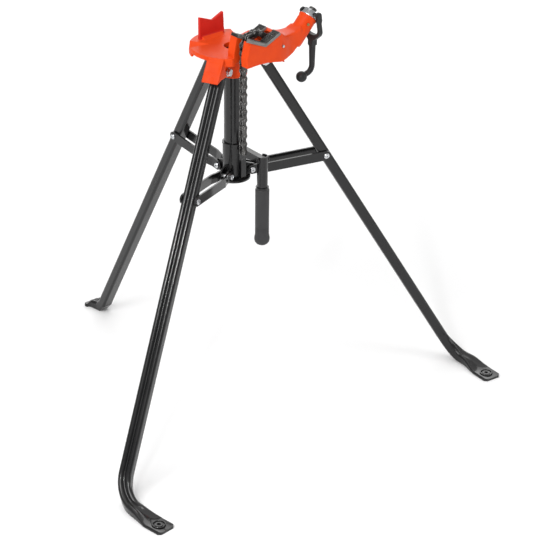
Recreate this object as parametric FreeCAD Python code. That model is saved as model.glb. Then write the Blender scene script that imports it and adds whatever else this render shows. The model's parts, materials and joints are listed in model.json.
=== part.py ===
import FreeCAD, Part
import math
import os

V = FreeCAD.Vector
os.makedirs("parts", exist_ok=True)

# Folding tripod stand with a top-screw chain vise. Millimetres, +Z up. Everything is laid out about the
# centre post (x = y = 0), floor at z = 0, the vise arm running towards +X and the pipe lying along +Y.

# ---- centre post and sliding sleeve
POST_R = 21.1
POST_WALL = 3.2
STOP_R = 37.7
STOP_T = 4.0
SLEEVE_BOTTOM = 548.0
SLEEVE_TOP = 631.0
SLEEVE_R = 24.15
SLEEVE_LIP = 1.2
SLEEVE_LIP_H = 4.0
SLIDE_CLEAR = 0.3
FACE_GAP = 0.3
PIN_CLEAR = 0.06

# ---- legs: pivot and brace points on each leg's centre line, in its own radial plane
PIVOT_Z = 820.0
FRONT_PIVOT_R = 65.9
REAR_PIVOT_R = 60.2
FRONT_SLOPE = 0.5972
REAR_SLOPE = 0.5469
FRONT_BRACE_Z = 575.5
REAR_BRACE_Z = 583.0
FRONT_AZIMUTH = 23.65
LEG_HALF = 15.0
LEG_DEPTH = 24.0
LEG_CORNER = 6.0
LEG_RIDGE = 6.5
LEG_WALL = 2.0
LEG_ABOVE_PIVOT = 14.0
PAD_HALF = 24.0
PAD_T = 7.0
PAD_HOLE_R = 4.5
PAD_CORNER = 7.0
PAD_BOSS_TOP = 7.1
PIVOT_BOLT_R = 5.0
BRACE_BOLT_R = 4.0
FRONT_FOOT = (0.307, 70.0, 77.0, 26.0)
REAR_FOOT = (1.0, 30.0, 19.0, 14.5)

# ---- braces
LUG_R = 40.0
LUG_Z = 562.0
LUG_HALF = 10.0
BAR_T = 4.0
BAR_H = 22.0
BAR_BEND = (18.0, 38.0)

# ---- folding lever on the sleeve
LEVER_Y = -98.0
LEVER_Z = 618.0
LEVER_TUBE_R = 12.0
LEVER_WALL = 1.8
LEVER_TOP = 628.0
COLLAR_Z = 551.0
GRIP_END = 405.0
GRIP_R = LEVER_TUBE_R + 3.75
STRAP_HALF = 7.0
STRAP_BOTTOM = 553.0
STRAP_BACK = 35.0
LEVER_PIN_R = 4.0

# ---- head casting
DECK_CENTRE = (2.0, 10.0)
DECK_R = 92.0
DECK_ABOVE_PIVOT = 36.0
DECK_TOP = PIVOT_Z + DECK_ABOVE_PIVOT
DECK_T = 8.0
RIM_T = 6.0
RIM_BOTTOM = DECK_TOP - 24.0
HUB_R = 30.0
HUB_BOTTOM = PIVOT_Z - 30.0
POST_TOP = DECK_TOP - 10.0
NOSE_HALF = 19.5
NOSE_INNER = 15.6
ARM_MID = -73.5
ARM_HALF = 32.5
SLOT_HALF = 11.5
SLOT_WALL = -21.0
NECK_HALF = 20.0
VEE_ANGLE = math.radians(23.5)
JAW_ABOVE_DECK = 35.2
JAW_BOTTOM = DECK_TOP + JAW_ABOVE_DECK
JAW_T = 7.0
JAW_SEAT = 43.0
NEAR_JAW_LEFT = -54.0
FAR_JAW_LEFT = -38.0
JAW_RIGHT = 38.0
JAW_BEVEL = 24.0
TUNNEL_FLOOR = JAW_BOTTOM - 25.7
TUNNEL_ROOF = JAW_BOTTOM - 6.7
ARM_LEDGE = JAW_BOTTOM + 2.3
ARM_WAIST = JAW_BOTTOM - 1.7
ARM_TOP = JAW_BOTTOM + 33.8
NECK_SWEEP = 92.0
TOOTH = 3.7
TOOTH_DEPTH = 1.2

# ---- drawing screw, its nut and the hanging handle
BOSS_R = 20.0
BOSS_ABOVE_JAW = 15.7
BOSS_END = V(150.3, ARM_MID, JAW_BOTTOM + BOSS_ABOVE_JAW)
SCREW_DIR = V(math.sin(math.radians(43.7)), 0, math.cos(math.radians(43.7)))
SCREW_R = 9.0
SCREW_OUT = 22.3
TONGUE_T = 4.6
EYE_BACK = 45.3
LOST_MOTION = 2.0
WASHER_T = 2.5
WASHER_R = 18.5
NUT_AF = 30.0
NUT_H = 12.0
TRUNNION_R = 3.5
PRONG_INNER = 23.4
PRONG_OUTER = 32.0
HANDLE_SHANK = 46.0

# ---- chain
PITCH = 19.05
PLATE_R = 7.3
PLATE_WAIST = 5.6
PIN_R = 2.5
BUSH_R = 4.6
INNER_PLATE = (2.5, 4.0)
OUTER_PLATE = (4.2, 5.7)
PIN_END = 6.3
SEATED_RISES = (2, 2, 8, 16, 26, 36, 14, -14, -62)
HANGING_LINKS = 13

UP = V(0, 0, 1)
ALONG_X = V(1, 0, 0)
ALONG_Y = V(0, 1, 0)


# ------------------------------------------------------------------ helpers
def tidy(shape):
    """One clean solid, without the seams left by joining."""
    return shape.removeSplitter()


def cylinder(start, direction, radius, length):
    """Round bar from a point along a direction."""
    return Part.makeCylinder(radius, length, start, direction)


def box(x0, x1, y0, y1, z0, z1):
    """Block between two corners."""
    return Part.makeBox(x1 - x0, y1 - y0, z1 - z0, V(x0, y0, z0))


def outline(corners, place):
    """Closed face from corners (a, b, radius); place maps (a, b) to a point in space."""
    count = len(corners)
    cuts = []
    for i in range(count):
        here = V(corners[i][0], corners[i][1], 0)
        back = V(corners[i - 1][0], corners[i - 1][1], 0) - here
        ahead = V(corners[(i + 1) % count][0], corners[(i + 1) % count][1], 0) - here
        radius = corners[i][2]
        if radius == 0:
            cuts.append((here, None, here))
            continue
        back.normalize()
        ahead.normalize()
        half = math.acos(max(-1.0, min(1.0, back.dot(ahead)))) / 2
        inward = back + ahead
        inward.normalize()
        reach = radius / math.tan(half)
        middle = here + inward * (radius / math.sin(half) - radius)
        cuts.append((here + back * reach, middle, here + ahead * reach))
    edges = []
    for i in range(count):
        start, middle, end = [None if p is None else place(p.x, p.y) for p in cuts[i]]
        following = place(cuts[(i + 1) % count][0].x, cuts[(i + 1) % count][0].y)
        if middle is not None:
            edges.append(Part.Arc(start, middle, end).toShape())
        if (following - end).Length > 1e-6:
            edges.append(Part.LineSegment(end, following).toShape())
    return Part.Face(Part.Wire(edges))


def side_plate(corners, y0, y1):
    """Outline in the XZ plane, thick from y0 to y1."""
    return outline(corners, lambda a, b: V(a, y0, b)).extrude(V(0, y1 - y0, 0))


def plan_plate(corners, z0, z1):
    """Outline in the XY plane, thick from z0 to z1."""
    return outline(corners, lambda a, b: V(a, b, z0)).extrude(V(0, 0, z1 - z0))


def end_plate(corners, x0, x1):
    """Outline in the YZ plane, thick from x0 to x1."""
    return outline(corners, lambda a, b: V(x0, a, b)).extrude(V(x1 - x0, 0, 0))


def prism(centre, direction, across, height, sides=6):
    """Hexagonal prism standing on a point."""
    radius = across / 2 / math.cos(math.pi / sides)
    points = []
    for i in range(sides + 1):
        angle = 2 * math.pi * (i + 0.5) / sides
        points.append(V(radius * math.cos(angle), radius * math.sin(angle), 0))
    solid = Part.Face(Part.makePolygon(points)).extrude(V(0, 0, height))
    solid = solid.common(Part.makeCylinder(radius * 0.97, height).fuse(
        Part.makeCylinder(radius * 1.1, height * 0.82)))
    turn = FreeCAD.Rotation(UP, direction)
    solid.Placement = FreeCAD.Placement(centre, turn)
    return solid


def spin(shape, azimuth):
    """Copy turned about the post."""
    copy = shape.copy()
    copy.rotate(V(0, 0, 0), UP, azimuth)
    return copy


def mirrored(shape):
    """Copy mirrored across the radial plane."""
    return shape.mirror(V(0, 0, 0), ALONG_Y)


# ------------------------------------------------------------------ legs
def leg_section(half, corner, depth, ridge, phi, origin, across, outward):
    """Rolled channel outline: flat back, rounded back corners, two ridges with a groove between."""
    def at(a, b):
        return origin + across * a + outward * b

    ridge_x = half - ridge
    ridge_y = depth / 2 - ridge
    stop = math.radians(phi)
    end_x = ridge_x + ridge * math.cos(stop)
    end_y = ridge_y + ridge * math.sin(stop)
    mid_x = ridge_x + ridge * math.cos(stop / 2)
    mid_y = ridge_y + ridge * math.sin(stop / 2)
    reach = ridge_x / -math.cos(stop)
    groove_y = ridge_y + reach * math.sin(stop) - (reach - ridge)
    low = -depth / 2
    knee = corner * (1 - math.sqrt(0.5))
    edges = [
        Part.LineSegment(at(corner - half, low), at(half - corner, low)),
        Part.Arc(at(half - corner, low), at(half - knee, low + knee), at(half, low + corner)),
        Part.LineSegment(at(half, low + corner), at(half, ridge_y)),
        Part.Arc(at(half, ridge_y), at(mid_x, mid_y), at(end_x, end_y)),
        Part.Arc(at(end_x, end_y), at(0, groove_y), at(-end_x, end_y)),
        Part.Arc(at(-end_x, end_y), at(-mid_x, mid_y), at(-half, ridge_y)),
        Part.LineSegment(at(-half, ridge_y), at(-half, low + corner)),
        Part.Arc(at(-half, low + corner), at(knee - half, low + knee), at(corner - half, low)),
    ]
    return Part.Wire([edge.toShape() for edge in edges])


def leg(pivot_r, slope, brace_z, foot, side):
    """Leg in its own radial plane: tube, bend that flattens into the pad, pad with a screw hole."""
    lean = math.atan(slope)
    axis = V(math.sin(lean), 0, -math.cos(lean))
    outward = V(math.cos(lean), 0, math.sin(lean))
    pivot = V(pivot_r, 0, PIVOT_Z)
    ground = pivot + axis * ((PIVOT_Z - PAD_T / 2) / math.cos(lean))
    radial, tangent, flat, hole_back = foot
    pad_dir = V(radial, side * math.sqrt(max(0.0, 1 - radial * radial)), 0)
    pad_dir.normalize()
    turn = math.acos(axis.dot(pad_dir))
    bend_r = tangent / math.tan(turn / 2)
    start = ground - axis * tangent
    towards = pad_dir - axis * pad_dir.dot(axis)
    towards.normalize()
    hinge = axis.cross(towards)

    top = pivot - axis * LEG_ABOVE_PIVOT
    length = (start - top).Length
    outer = leg_section(LEG_HALF, LEG_CORNER, LEG_DEPTH, LEG_RIDGE, 150, top, ALONG_Y, outward)
    inner = leg_section(LEG_HALF - LEG_WALL, LEG_CORNER - LEG_WALL, LEG_DEPTH - 2 * LEG_WALL,
                        LEG_RIDGE - LEG_WALL, 150, top, ALONG_Y, outward)
    tube = Part.Face(outer).extrude(axis * length).cut(Part.Face(inner).extrude(axis * (length - 6)))

    def frame(part):
        """Place, across and outward directions at a fraction of the bend, before any roll."""
        angle = turn * part
        place = start + axis * (bend_r * math.sin(angle)) + towards * (bend_r * (1 - math.cos(angle)))
        along = axis * math.cos(angle) + towards * math.sin(angle)
        facing = (towards * math.cos(angle) - axis * math.sin(angle)) * outward.dot(towards)
        return place, along, facing + hinge * outward.dot(hinge)

    _, along_end, facing_end = frame(1.0)
    roll_end = math.atan2(UP.dot(along_end.cross(facing_end)), UP.dot(facing_end))
    wires = []
    stations = [(i / 6, 0.0) for i in range(7)] + [(1.0, flat * 0.25), (1.0, flat * 0.5)]
    for part, beyond in stations:
        place, along, facing = frame(part)
        roll = roll_end * part * part * (3 - 2 * part)
        face_dir = facing * math.cos(roll) + along.cross(facing) * math.sin(roll)
        across = face_dir.cross(along)
        share = max(0.0, part - 0.5) * 0.9 + beyond / flat * 1.1
        share = share * share * (3 - 2 * share)

        def mix(first, last):
            return first + (last - first) * share

        depth = mix(LEG_DEPTH, PAD_T)
        half = mix(LEG_HALF, PAD_HALF)
        place = place + along * beyond
        under = place.z - depth / 2 * abs(face_dir.z) - (half - 2) * abs(across.z)
        place = place + UP * max(0.0, -under)
        wires.append(leg_section(half, mix(LEG_CORNER, 2.0), depth, mix(LEG_RIDGE, 3.4),
                                 mix(150, 100), place, across, face_dir))
    bend = Part.makeLoft(wires, True, False)
    pad = Part.Face(wires[-1]).extrude(pad_dir * (flat * 0.5))
    pad_side = UP.cross(pad_dir)
    tip = ground + pad_dir * (tangent + flat)
    tip.z = 0
    for sign in (-1, 1):
        corner = tip + pad_side * (sign * PAD_HALF)
        back = corner - pad_dir * PAD_CORNER
        inner = corner - pad_side * (PAD_CORNER * sign)
        wedge = [corner + pad_dir, corner + pad_side * sign, back + pad_side * sign, back,
                 inner, inner + pad_dir, corner + pad_dir]
        pad = pad.cut(Part.Face(Part.makePolygon(wedge)).extrude(UP * (2 * PAD_T)))
    hole = tip - pad_dir * hole_back
    ring = cylinder(hole, UP, PAD_HOLE_R * 2, PAD_BOSS_TOP)
    solid = tidy(tube.fuse([bend, pad, ring]))
    spot_face = cylinder(hole + UP * PAD_BOSS_TOP, UP, PAD_HOLE_R * 2, LEG_DEPTH)
    under_floor = box(0, ground.x * 2, -ground.x, ground.x, -LEG_DEPTH, 0)
    solid = solid.cut([cylinder(hole, UP, PAD_HOLE_R, PAD_BOSS_TOP), spot_face, under_floor])
    brace_r = pivot_r + slope * (PIVOT_Z - brace_z)
    for spot, radius in ((pivot, PIVOT_BOLT_R + PIN_CLEAR), (V(brace_r, 0, brace_z), BRACE_BOLT_R + 0.2)):
        solid = solid.cut(cylinder(spot - V(0, 40, 0), ALONG_Y, radius, 80))
    return solid


# ------------------------------------------------------------------ braces
def brace_bar(length):
    """One flat bar: eye at the lug end, a joggle outwards, wide at the leg end. Lies along +X."""
    inner = LUG_HALF + FACE_GAP
    wide = LEG_HALF + FACE_GAP
    first, last = BAR_BEND
    plan = [(-BAR_H, inner, 0), (first, inner, 14), (last, wide, 14), (length + BAR_H, wide, 0),
            (length + BAR_H, wide + BAR_T, 0), (last - 1, wide + BAR_T, 14),
            (first - 1, inner + BAR_T, 14), (-BAR_H, inner + BAR_T, 0)]
    bar = plan_plate(plan, -BAR_H / 2, BAR_H / 2)
    profile = cylinder(V(0, 0, 0), ALONG_Y, BAR_H / 2, 60)
    profile = profile.fuse(cylinder(V(length, 0, 0), ALONG_Y, BAR_H / 2, 60))
    profile = profile.fuse(box(0, length, 0, 60, -BAR_H / 2, BAR_H / 2))
    bar = tidy(bar.common(profile))
    bar = bar.cut(cylinder(V(0, 0, 0), ALONG_Y, BRACE_BOLT_R + PIN_CLEAR, 60))
    return bar.cut(cylinder(V(length, 0, 0), ALONG_Y, BRACE_BOLT_R, 60))


def brace(brace_r, brace_z):
    """Pair of bars and the two shoulder screws of the leg end, from the lug bolt to the leg."""
    length = math.hypot(brace_r - LUG_R, brace_z - LUG_Z)
    rise = math.degrees(math.atan2(brace_z - LUG_Z, brace_r - LUG_R))
    bar = brace_bar(length)
    head_y = LEG_HALF + FACE_GAP + BAR_T
    screw = cylinder(V(length, LEG_HALF + FACE_GAP, 0), ALONG_Y, BRACE_BOLT_R, BAR_T)
    screw = tidy(screw.fuse(pan_head(V(length, head_y, 0), ALONG_Y, 6.5, 3.6)))
    pairs = []
    for piece in (bar, screw):
        group = [piece, mirrored(piece)]
        for solid in group:
            solid.rotate(V(0, 0, 0), ALONG_Y, -rise)
            solid.translate(V(LUG_R, 0, LUG_Z))
        pairs.append(group)
    return pairs


def pan_head(start, direction, radius, height):
    """Round screw head with a domed edge and a hex socket."""
    low = Part.makeCylinder(radius, height * 0.55)
    dome = Part.makeCone(radius, radius * 0.72, height * 0.45, V(0, 0, height * 0.55))
    head = low.fuse(dome)
    points = []
    for i in range(7):
        angle = math.pi * i / 3
        points.append(V(radius * 0.4 * math.cos(angle), radius * 0.4 * math.sin(angle), height * 0.5))
    head = tidy(head).cut(Part.Face(Part.makePolygon(points)).extrude(V(0, 0, height)))
    head.Placement = FreeCAD.Placement(start, FreeCAD.Rotation(UP, direction))
    return head


# ------------------------------------------------------------------ head casting
def nose_plan(rear):
    """Clevis outline in (r, z) and its pocket, for one leg."""
    shift = REAR_PIVOT_R - FRONT_PIVOT_R if rear else 0.0
    body = [(34, PIVOT_Z + 30, 0), (34, PIVOT_Z + 16, 0), (54 + shift, PIVOT_Z + 7, 6),
            (66 + shift, PIVOT_Z - 9, 6), (98, PIVOT_Z - 7, 4), (118, PIVOT_Z - 12, 3),
            (101, DECK_TOP - 4, 4)]
    pocket = [(37, PIVOT_Z - 40, 0), (37, DECK_TOP - DECK_T, 0), (97.5, DECK_TOP - DECK_T, 0),
              (121, PIVOT_Z - 40, 0)]
    return body, pocket


def nose(rear):
    """Clevis solid and the pocket cut, in a leg's own radial plane."""
    body, pocket = nose_plan(rear)
    pivot_r = REAR_PIVOT_R if rear else FRONT_PIVOT_R
    solid = side_plate(body, -NOSE_HALF, NOSE_HALF)
    eye = cylinder(V(pivot_r, -NOSE_HALF, PIVOT_Z), ALONG_Y, 10.0, 2 * NOSE_HALF)
    solid = solid.fuse(eye)
    cut = side_plate(pocket, -NOSE_INNER, NOSE_INNER)
    cut = cut.fuse(box(90, 125, -5.5, 5.5, PIVOT_Z - 9, PIVOT_Z + 1))
    cut = cut.fuse(cylinder(V(pivot_r, -40, PIVOT_Z), ALONG_Y, PIVOT_BOLT_R, 80))
    return solid, cut


def vee_seat_z(x):
    """Height of the jaw seat on the arm at a distance from the vee's middle."""
    return JAW_BOTTOM - JAW_T / math.cos(VEE_ANGLE) + abs(x) * math.tan(VEE_ANGLE)


def arm():
    """Vise arm: side profile cut to its plan, with the screw boss."""
    seat_top = vee_seat_z(JAW_SEAT)
    profile = [(-50, DECK_TOP - 12, 3), (26, DECK_TOP - 17, 0), (48, DECK_TOP - 22, 0),
               (72, DECK_TOP - 23.5, 20), (93, JAW_BOTTOM - 52.2, 16), (118, JAW_BOTTOM - 29.2, 0),
               (116, ARM_WAIST + 7.5, 0), (98, ARM_WAIST, 14), (76, ARM_WAIST, 14), (58, ARM_LEDGE, 10),
               (JAW_SEAT + 5, seat_top, 3), (JAW_SEAT, seat_top, 0), (0, vee_seat_z(0), 0),
               (-JAW_SEAT, seat_top, 0), (-51.5, DECK_TOP + 10, 8)]
    side = side_plate(profile, ARM_MID - ARM_HALF, ARM_MID + ARM_HALF)
    wide, narrow = ARM_HALF, NECK_HALF
    plan = [(-60, ARM_MID - wide, 0), (52, ARM_MID - wide, NECK_SWEEP), (86, ARM_MID - narrow, NECK_SWEEP),
            (125, ARM_MID - narrow, 0), (125, ARM_MID + narrow, 0), (86, ARM_MID + narrow, NECK_SWEEP),
            (52, ARM_MID + wide, NECK_SWEEP), (-60, ARM_MID + wide, 0)]
    body = side.common(plan_plate(plan, DECK_TOP - 31, ARM_TOP))
    boss = cylinder(BOSS_END - SCREW_DIR * 68, SCREW_DIR, BOSS_R, 68)
    rim = cylinder(BOSS_END - SCREW_DIR * 5, SCREW_DIR, BOSS_R + 1.2, 5)
    return body.fuse(boss).fuse(rim)


def arm_cuts():
    """Slot for the hanging chain, saddle, tunnel to the screw, screw bore."""
    low = ARM_MID - SLOT_HALF
    high = ARM_MID + SLOT_HALF
    drop = box(-64, SLOT_WALL, low, high, DECK_TOP - 56, ARM_TOP)
    saddle = JAW_BOTTOM - 4.2
    over = side_plate([(-27, ARM_TOP, 0), (-27, saddle, 4), (12, saddle, 6), (32, TUNNEL_FLOOR, 6),
                       (129, TUNNEL_FLOOR, 0), (129, TUNNEL_ROOF, 0), (70, TUNNEL_ROOF, 0),
                       (36, JAW_BOTTOM + 8.8, 0), (36, ARM_TOP, 0)], low, high)
    bore = cylinder(BOSS_END - SCREW_DIR * 40, SCREW_DIR, SCREW_R + PIN_CLEAR, 41)
    return [drop, over, bore]


def bender(azimuth):
    """Conical pipe-bending groove in the deck rim: the lip under it, and the cut."""
    start = V(45, 0, DECK_TOP)
    direction = V(47, 0, 11.9)
    direction.normalize()
    tip_angle = math.atan(25.9 / 48.5)
    length = 62.0
    cut = Part.makeCone(0, length * math.tan(tip_angle), length, start, direction)
    lip_start = start - direction * 12
    lip = Part.makeCone(0, (length + 12) * math.tan(tip_angle), length + 12, lip_start, direction)
    return [spin_about_deck(piece, azimuth) for piece in (lip, cut)]


def spin_about_deck(piece, azimuth):
    """Turn about the deck's own centre."""
    copy = piece.copy()
    copy.rotate(V(0, 0, 0), UP, azimuth)
    copy.translate(V(DECK_CENTRE[0], DECK_CENTRE[1], 0))
    return copy


def head_casting():
    """Deck with hollow underside, hub, three clevises, pipe rest, bending grooves and vise arm."""
    centre = V(DECK_CENTRE[0], DECK_CENTRE[1], RIM_BOTTOM)
    height = DECK_TOP - RIM_BOTTOM
    shell = cylinder(centre, UP, DECK_R, height)
    shell = shell.cut(cylinder(centre - UP, UP, DECK_R - RIM_T, height - DECK_T + 1))
    hub = cylinder(V(0, 0, HUB_BOTTOM), UP, HUB_R, DECK_TOP - HUB_BOTTOM - 2)
    shell = shell.fuse(hub)
    cuts = [cylinder(V(0, 0, HUB_BOTTOM - 1), UP, POST_R, 2 * (PIVOT_Z - HUB_BOTTOM) + 20)]
    for azimuth, rear in ((90, True), (-FRONT_AZIMUTH, False), (180 + FRONT_AZIMUTH, False)):
        solid, cut = nose(rear)
        shell = shell.fuse(spin(solid, azimuth))
        cuts.append(spin(cut, azimuth))
    room = cylinder(centre, UP, DECK_R, height)
    for azimuth in (38, 142):
        lip, cut = bender(azimuth)
        shell = shell.fuse(lip.common(room))
        cuts.append(cut)
    low = DECK_TOP - 6
    rest = [(-36.5, low, 0), (-36.5, DECK_TOP + 52, 1.5), (0, DECK_TOP + 38, 5), (30, DECK_TOP + 51.5, 1.5),
            (33, low, 0)]
    shell = shell.fuse(side_plate(rest, 69.5, 76.5))
    foot = [(69.5, low, 0), (69.5, DECK_TOP + 8, 0), (61, DECK_TOP - 0.5, 0), (61, low, 0)]
    shell = shell.fuse(end_plate(foot, -30, 27))
    shell = shell.fuse(arm())
    solid = shell.cut(cuts + arm_cuts())
    solid = solid.cut([guide_pin(), key_pin()] + jaw_screw_shanks())
    return tidy(solid)


# ------------------------------------------------------------------ jaws and pins of the vise
def toothed_wing(end_x):
    """Toothed upper edge of one wing, from the vee's bottom outwards."""
    side = 1 if end_x > 0 else -1
    slope = V(side * math.cos(VEE_ANGLE), math.sin(VEE_ANGLE), 0)
    down = V(side * math.sin(VEE_ANGLE), -math.cos(VEE_ANGLE), 0)
    count = int(abs(end_x) / math.cos(VEE_ANGLE) / TOOTH)
    points = []
    for i in range(1, count):
        crest = V(0, JAW_BOTTOM, 0) + slope * (TOOTH * i)
        points.append(crest + down * TOOTH_DEPTH)
        points.append(crest + slope * (TOOTH * 0.5))
    return points, slope, down, count


def vee_jaw(y0, y1, left_x):
    """Hard steel vee with teeth, bevelled at the wing ends."""
    right, up_right, down_right, count_right = toothed_wing(JAW_RIGHT)
    left, up_left, down_left, count_left = toothed_wing(left_x)
    bottom = V(0, JAW_BOTTOM, 0)
    right_end = bottom + up_right * (TOOTH * count_right + 1.5)
    left_end = bottom + up_left * (TOOTH * count_left + 1.5)
    points = [bottom] + right + [right_end, right_end + down_right * JAW_T, V(0, vee_seat_z(0), 0)]
    points += [left_end + down_left * JAW_T, left_end] + left[::-1] + [bottom]
    wire = Part.makePolygon([V(p.x, y0, p.y) for p in points])
    jaw = Part.Face(wire).extrude(V(0, y1 - y0, 0))
    return jaw.cut(jaw_screw_sinks())


def near_jaw():
    """Jaw on the operator's side; its long wing is bevelled to let the chain round the corner."""
    outer = ARM_MID - ARM_HALF - 1
    inner = ARM_MID - SLOT_HALF
    jaw = vee_jaw(outer, inner, NEAR_JAW_LEFT)
    bevel = plan_plate([(NEAR_JAW_LEFT - 4, outer + 1, 0), (NEAR_JAW_LEFT, outer + 1, 0),
                        (NEAR_JAW_LEFT + JAW_BEVEL, inner + 1, 0), (NEAR_JAW_LEFT - 4, inner + 1, 0)],
                       JAW_BOTTOM, JAW_BOTTOM + 40)
    return jaw.cut(bevel)


def jaw_screw_spots():
    """Places and directions of the four jaw screws, at the jaw's toothed face."""
    spots = []
    for y in (ARM_MID - 22.3, ARM_MID + 22.3):
        for side in (-1, 1):
            out = V(side * 24.0, y, JAW_BOTTOM + 24.0 * math.tan(VEE_ANGLE))
            down = V(side * math.sin(VEE_ANGLE), 0, -math.cos(VEE_ANGLE))
            spots.append((out, down))
    return spots


def jaw_screws():
    """Four countersunk socket screws."""
    screws = []
    for spot, down in jaw_screw_spots():
        head = Part.makeCone(5.6, 3.0, 3.0, spot + down * 2.2, down)
        shank = cylinder(spot + down * 5.2, down, 3.0, 18.8)
        screw = tidy(head.fuse(shank))
        socket = cylinder(spot, down, 2.0, 4.0)
        screws.append(screw.cut(socket))
    return screws


def jaw_screw_sinks():
    """Holes in the jaws that fit their screws."""
    cuts = []
    for spot, down in jaw_screw_spots():
        cuts.append(Part.makeCone(5.6, 3.0, 3.0, spot + down * 2.2, down))
        cuts.append(cylinder(spot - down * 2, down, 5.6, 4.2))
        cuts.append(cylinder(spot, down, 3.0, 30))
    return cuts


def jaw_screw_shanks():
    """Tapped holes for the jaw screws in the arm."""
    return [cylinder(spot + down * 5.2, down, 3.0, 18.8) for spot, down in jaw_screw_spots()]


def chain_pins():
    """Pin centres of the chain on the head, from the screw's eye to the last seated pin."""
    eye = BOSS_END - SCREW_DIR * EYE_BACK
    points = [V(eye.x, 0, eye.z)]
    for rise in SEATED_RISES:
        angle = math.radians(rise)
        points.append(points[-1] + V(-math.cos(angle), 0, math.sin(angle)) * PITCH)
    return points


def guide_pin():
    """Pin across the arm that the chain rests on."""
    pins = chain_pins()
    middle = (pins[3] + pins[4]) * 0.5
    along = pins[3] - pins[4]
    along.normalize()
    spot = middle + V(along.z, 0, -along.x) * (PLATE_WAIST + 3.0)
    return cylinder(V(spot.x, ARM_MID - ARM_HALF - 1.2, spot.z), ALONG_Y, 3.0, 2 * ARM_HALF + 2.4)


def key_pin():
    """Screw in the boss side that keeps the drawing screw from turning."""
    tilt = math.radians(17.5)
    inward = V(math.cos(math.radians(43.7)) * math.sin(tilt), math.cos(tilt),
               -math.sin(math.radians(43.7)) * math.sin(tilt))
    spot = BOSS_END - SCREW_DIR * 18.2 - inward * (BOSS_R + 1.0)
    return cylinder(spot, inward, 3.0, BOSS_R + 1.0 - SCREW_R - 0.4)


# ------------------------------------------------------------------ drawing screw, nut, handle
def draw_screw():
    """Round screw that ends in a flat tongue with an eye for the chain."""
    round_back = 30.0
    start = BOSS_END - SCREW_DIR * round_back
    screw = cylinder(start, SCREW_DIR, SCREW_R, round_back + SCREW_OUT - 1.5)
    tip = Part.makeCone(SCREW_R, SCREW_R - 1.5, 1.5, BOSS_END + SCREW_DIR * (SCREW_OUT - 1.5), SCREW_DIR)
    eye = BOSS_END - SCREW_DIR * EYE_BACK
    low = eye - ALONG_Y * (TONGUE_T / 2)
    across = SCREW_DIR.cross(ALONG_Y)
    tongue = cylinder(low, ALONG_Y, 7.2, TONGUE_T)
    corners = [low + across * 7.2, low - across * 7.2]
    far = SCREW_DIR * (EYE_BACK - round_back + 2)
    wire = Part.makePolygon([corners[0], corners[1], corners[1] + far, corners[0] + far, corners[0]])
    tongue = tongue.fuse(Part.Face(wire).extrude(ALONG_Y * TONGUE_T))
    screw = tidy(screw.fuse([tip, tongue]))
    slot_r = PIN_R + 0.1
    ends = [eye - SCREW_DIR * LOST_MOTION - ALONG_Y * PIN_END, eye + SCREW_DIR * LOST_MOTION - ALONG_Y * PIN_END]
    edge = across * slot_r
    wire = Part.makePolygon([ends[0] + edge, ends[0] - edge, ends[1] - edge, ends[1] + edge, ends[0] + edge])
    slot = [cylinder(end, ALONG_Y, slot_r, 2 * PIN_END) for end in ends]
    slot.append(Part.Face(wire).extrude(ALONG_Y * (2 * PIN_END)))
    return screw.cut(slot)


def trunnion_centre():
    """Middle of the nut, where the handle's yoke turns."""
    return BOSS_END + SCREW_DIR * (WASHER_T + FACE_GAP + NUT_H / 2)


def draw_nut():
    """Hexagon nut; flats face the yoke's prongs."""
    nut = prism(BOSS_END + SCREW_DIR * (WASHER_T + FACE_GAP), SCREW_DIR, NUT_AF, NUT_H)
    nut = nut.cut(cylinder(BOSS_END, SCREW_DIR, SCREW_R + PIN_CLEAR, 40))
    return nut.cut(trunnions())


def trunnions():
    """Two stub pins pressed into the nut's side flats."""
    middle = trunnion_centre()
    pins = []
    for side in (-1, 1):
        start = middle + ALONG_Y * (side * 11.5)
        pin = cylinder(start, ALONG_Y * side, TRUNNION_R, PRONG_OUTER + 0.8 - 11.5)
        head = cylinder(middle + ALONG_Y * (side * (PRONG_OUTER + 0.3)), ALONG_Y * side, 5.2, 2.0)
        pins.append(tidy(pin.fuse(head)))
    return pins


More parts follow.
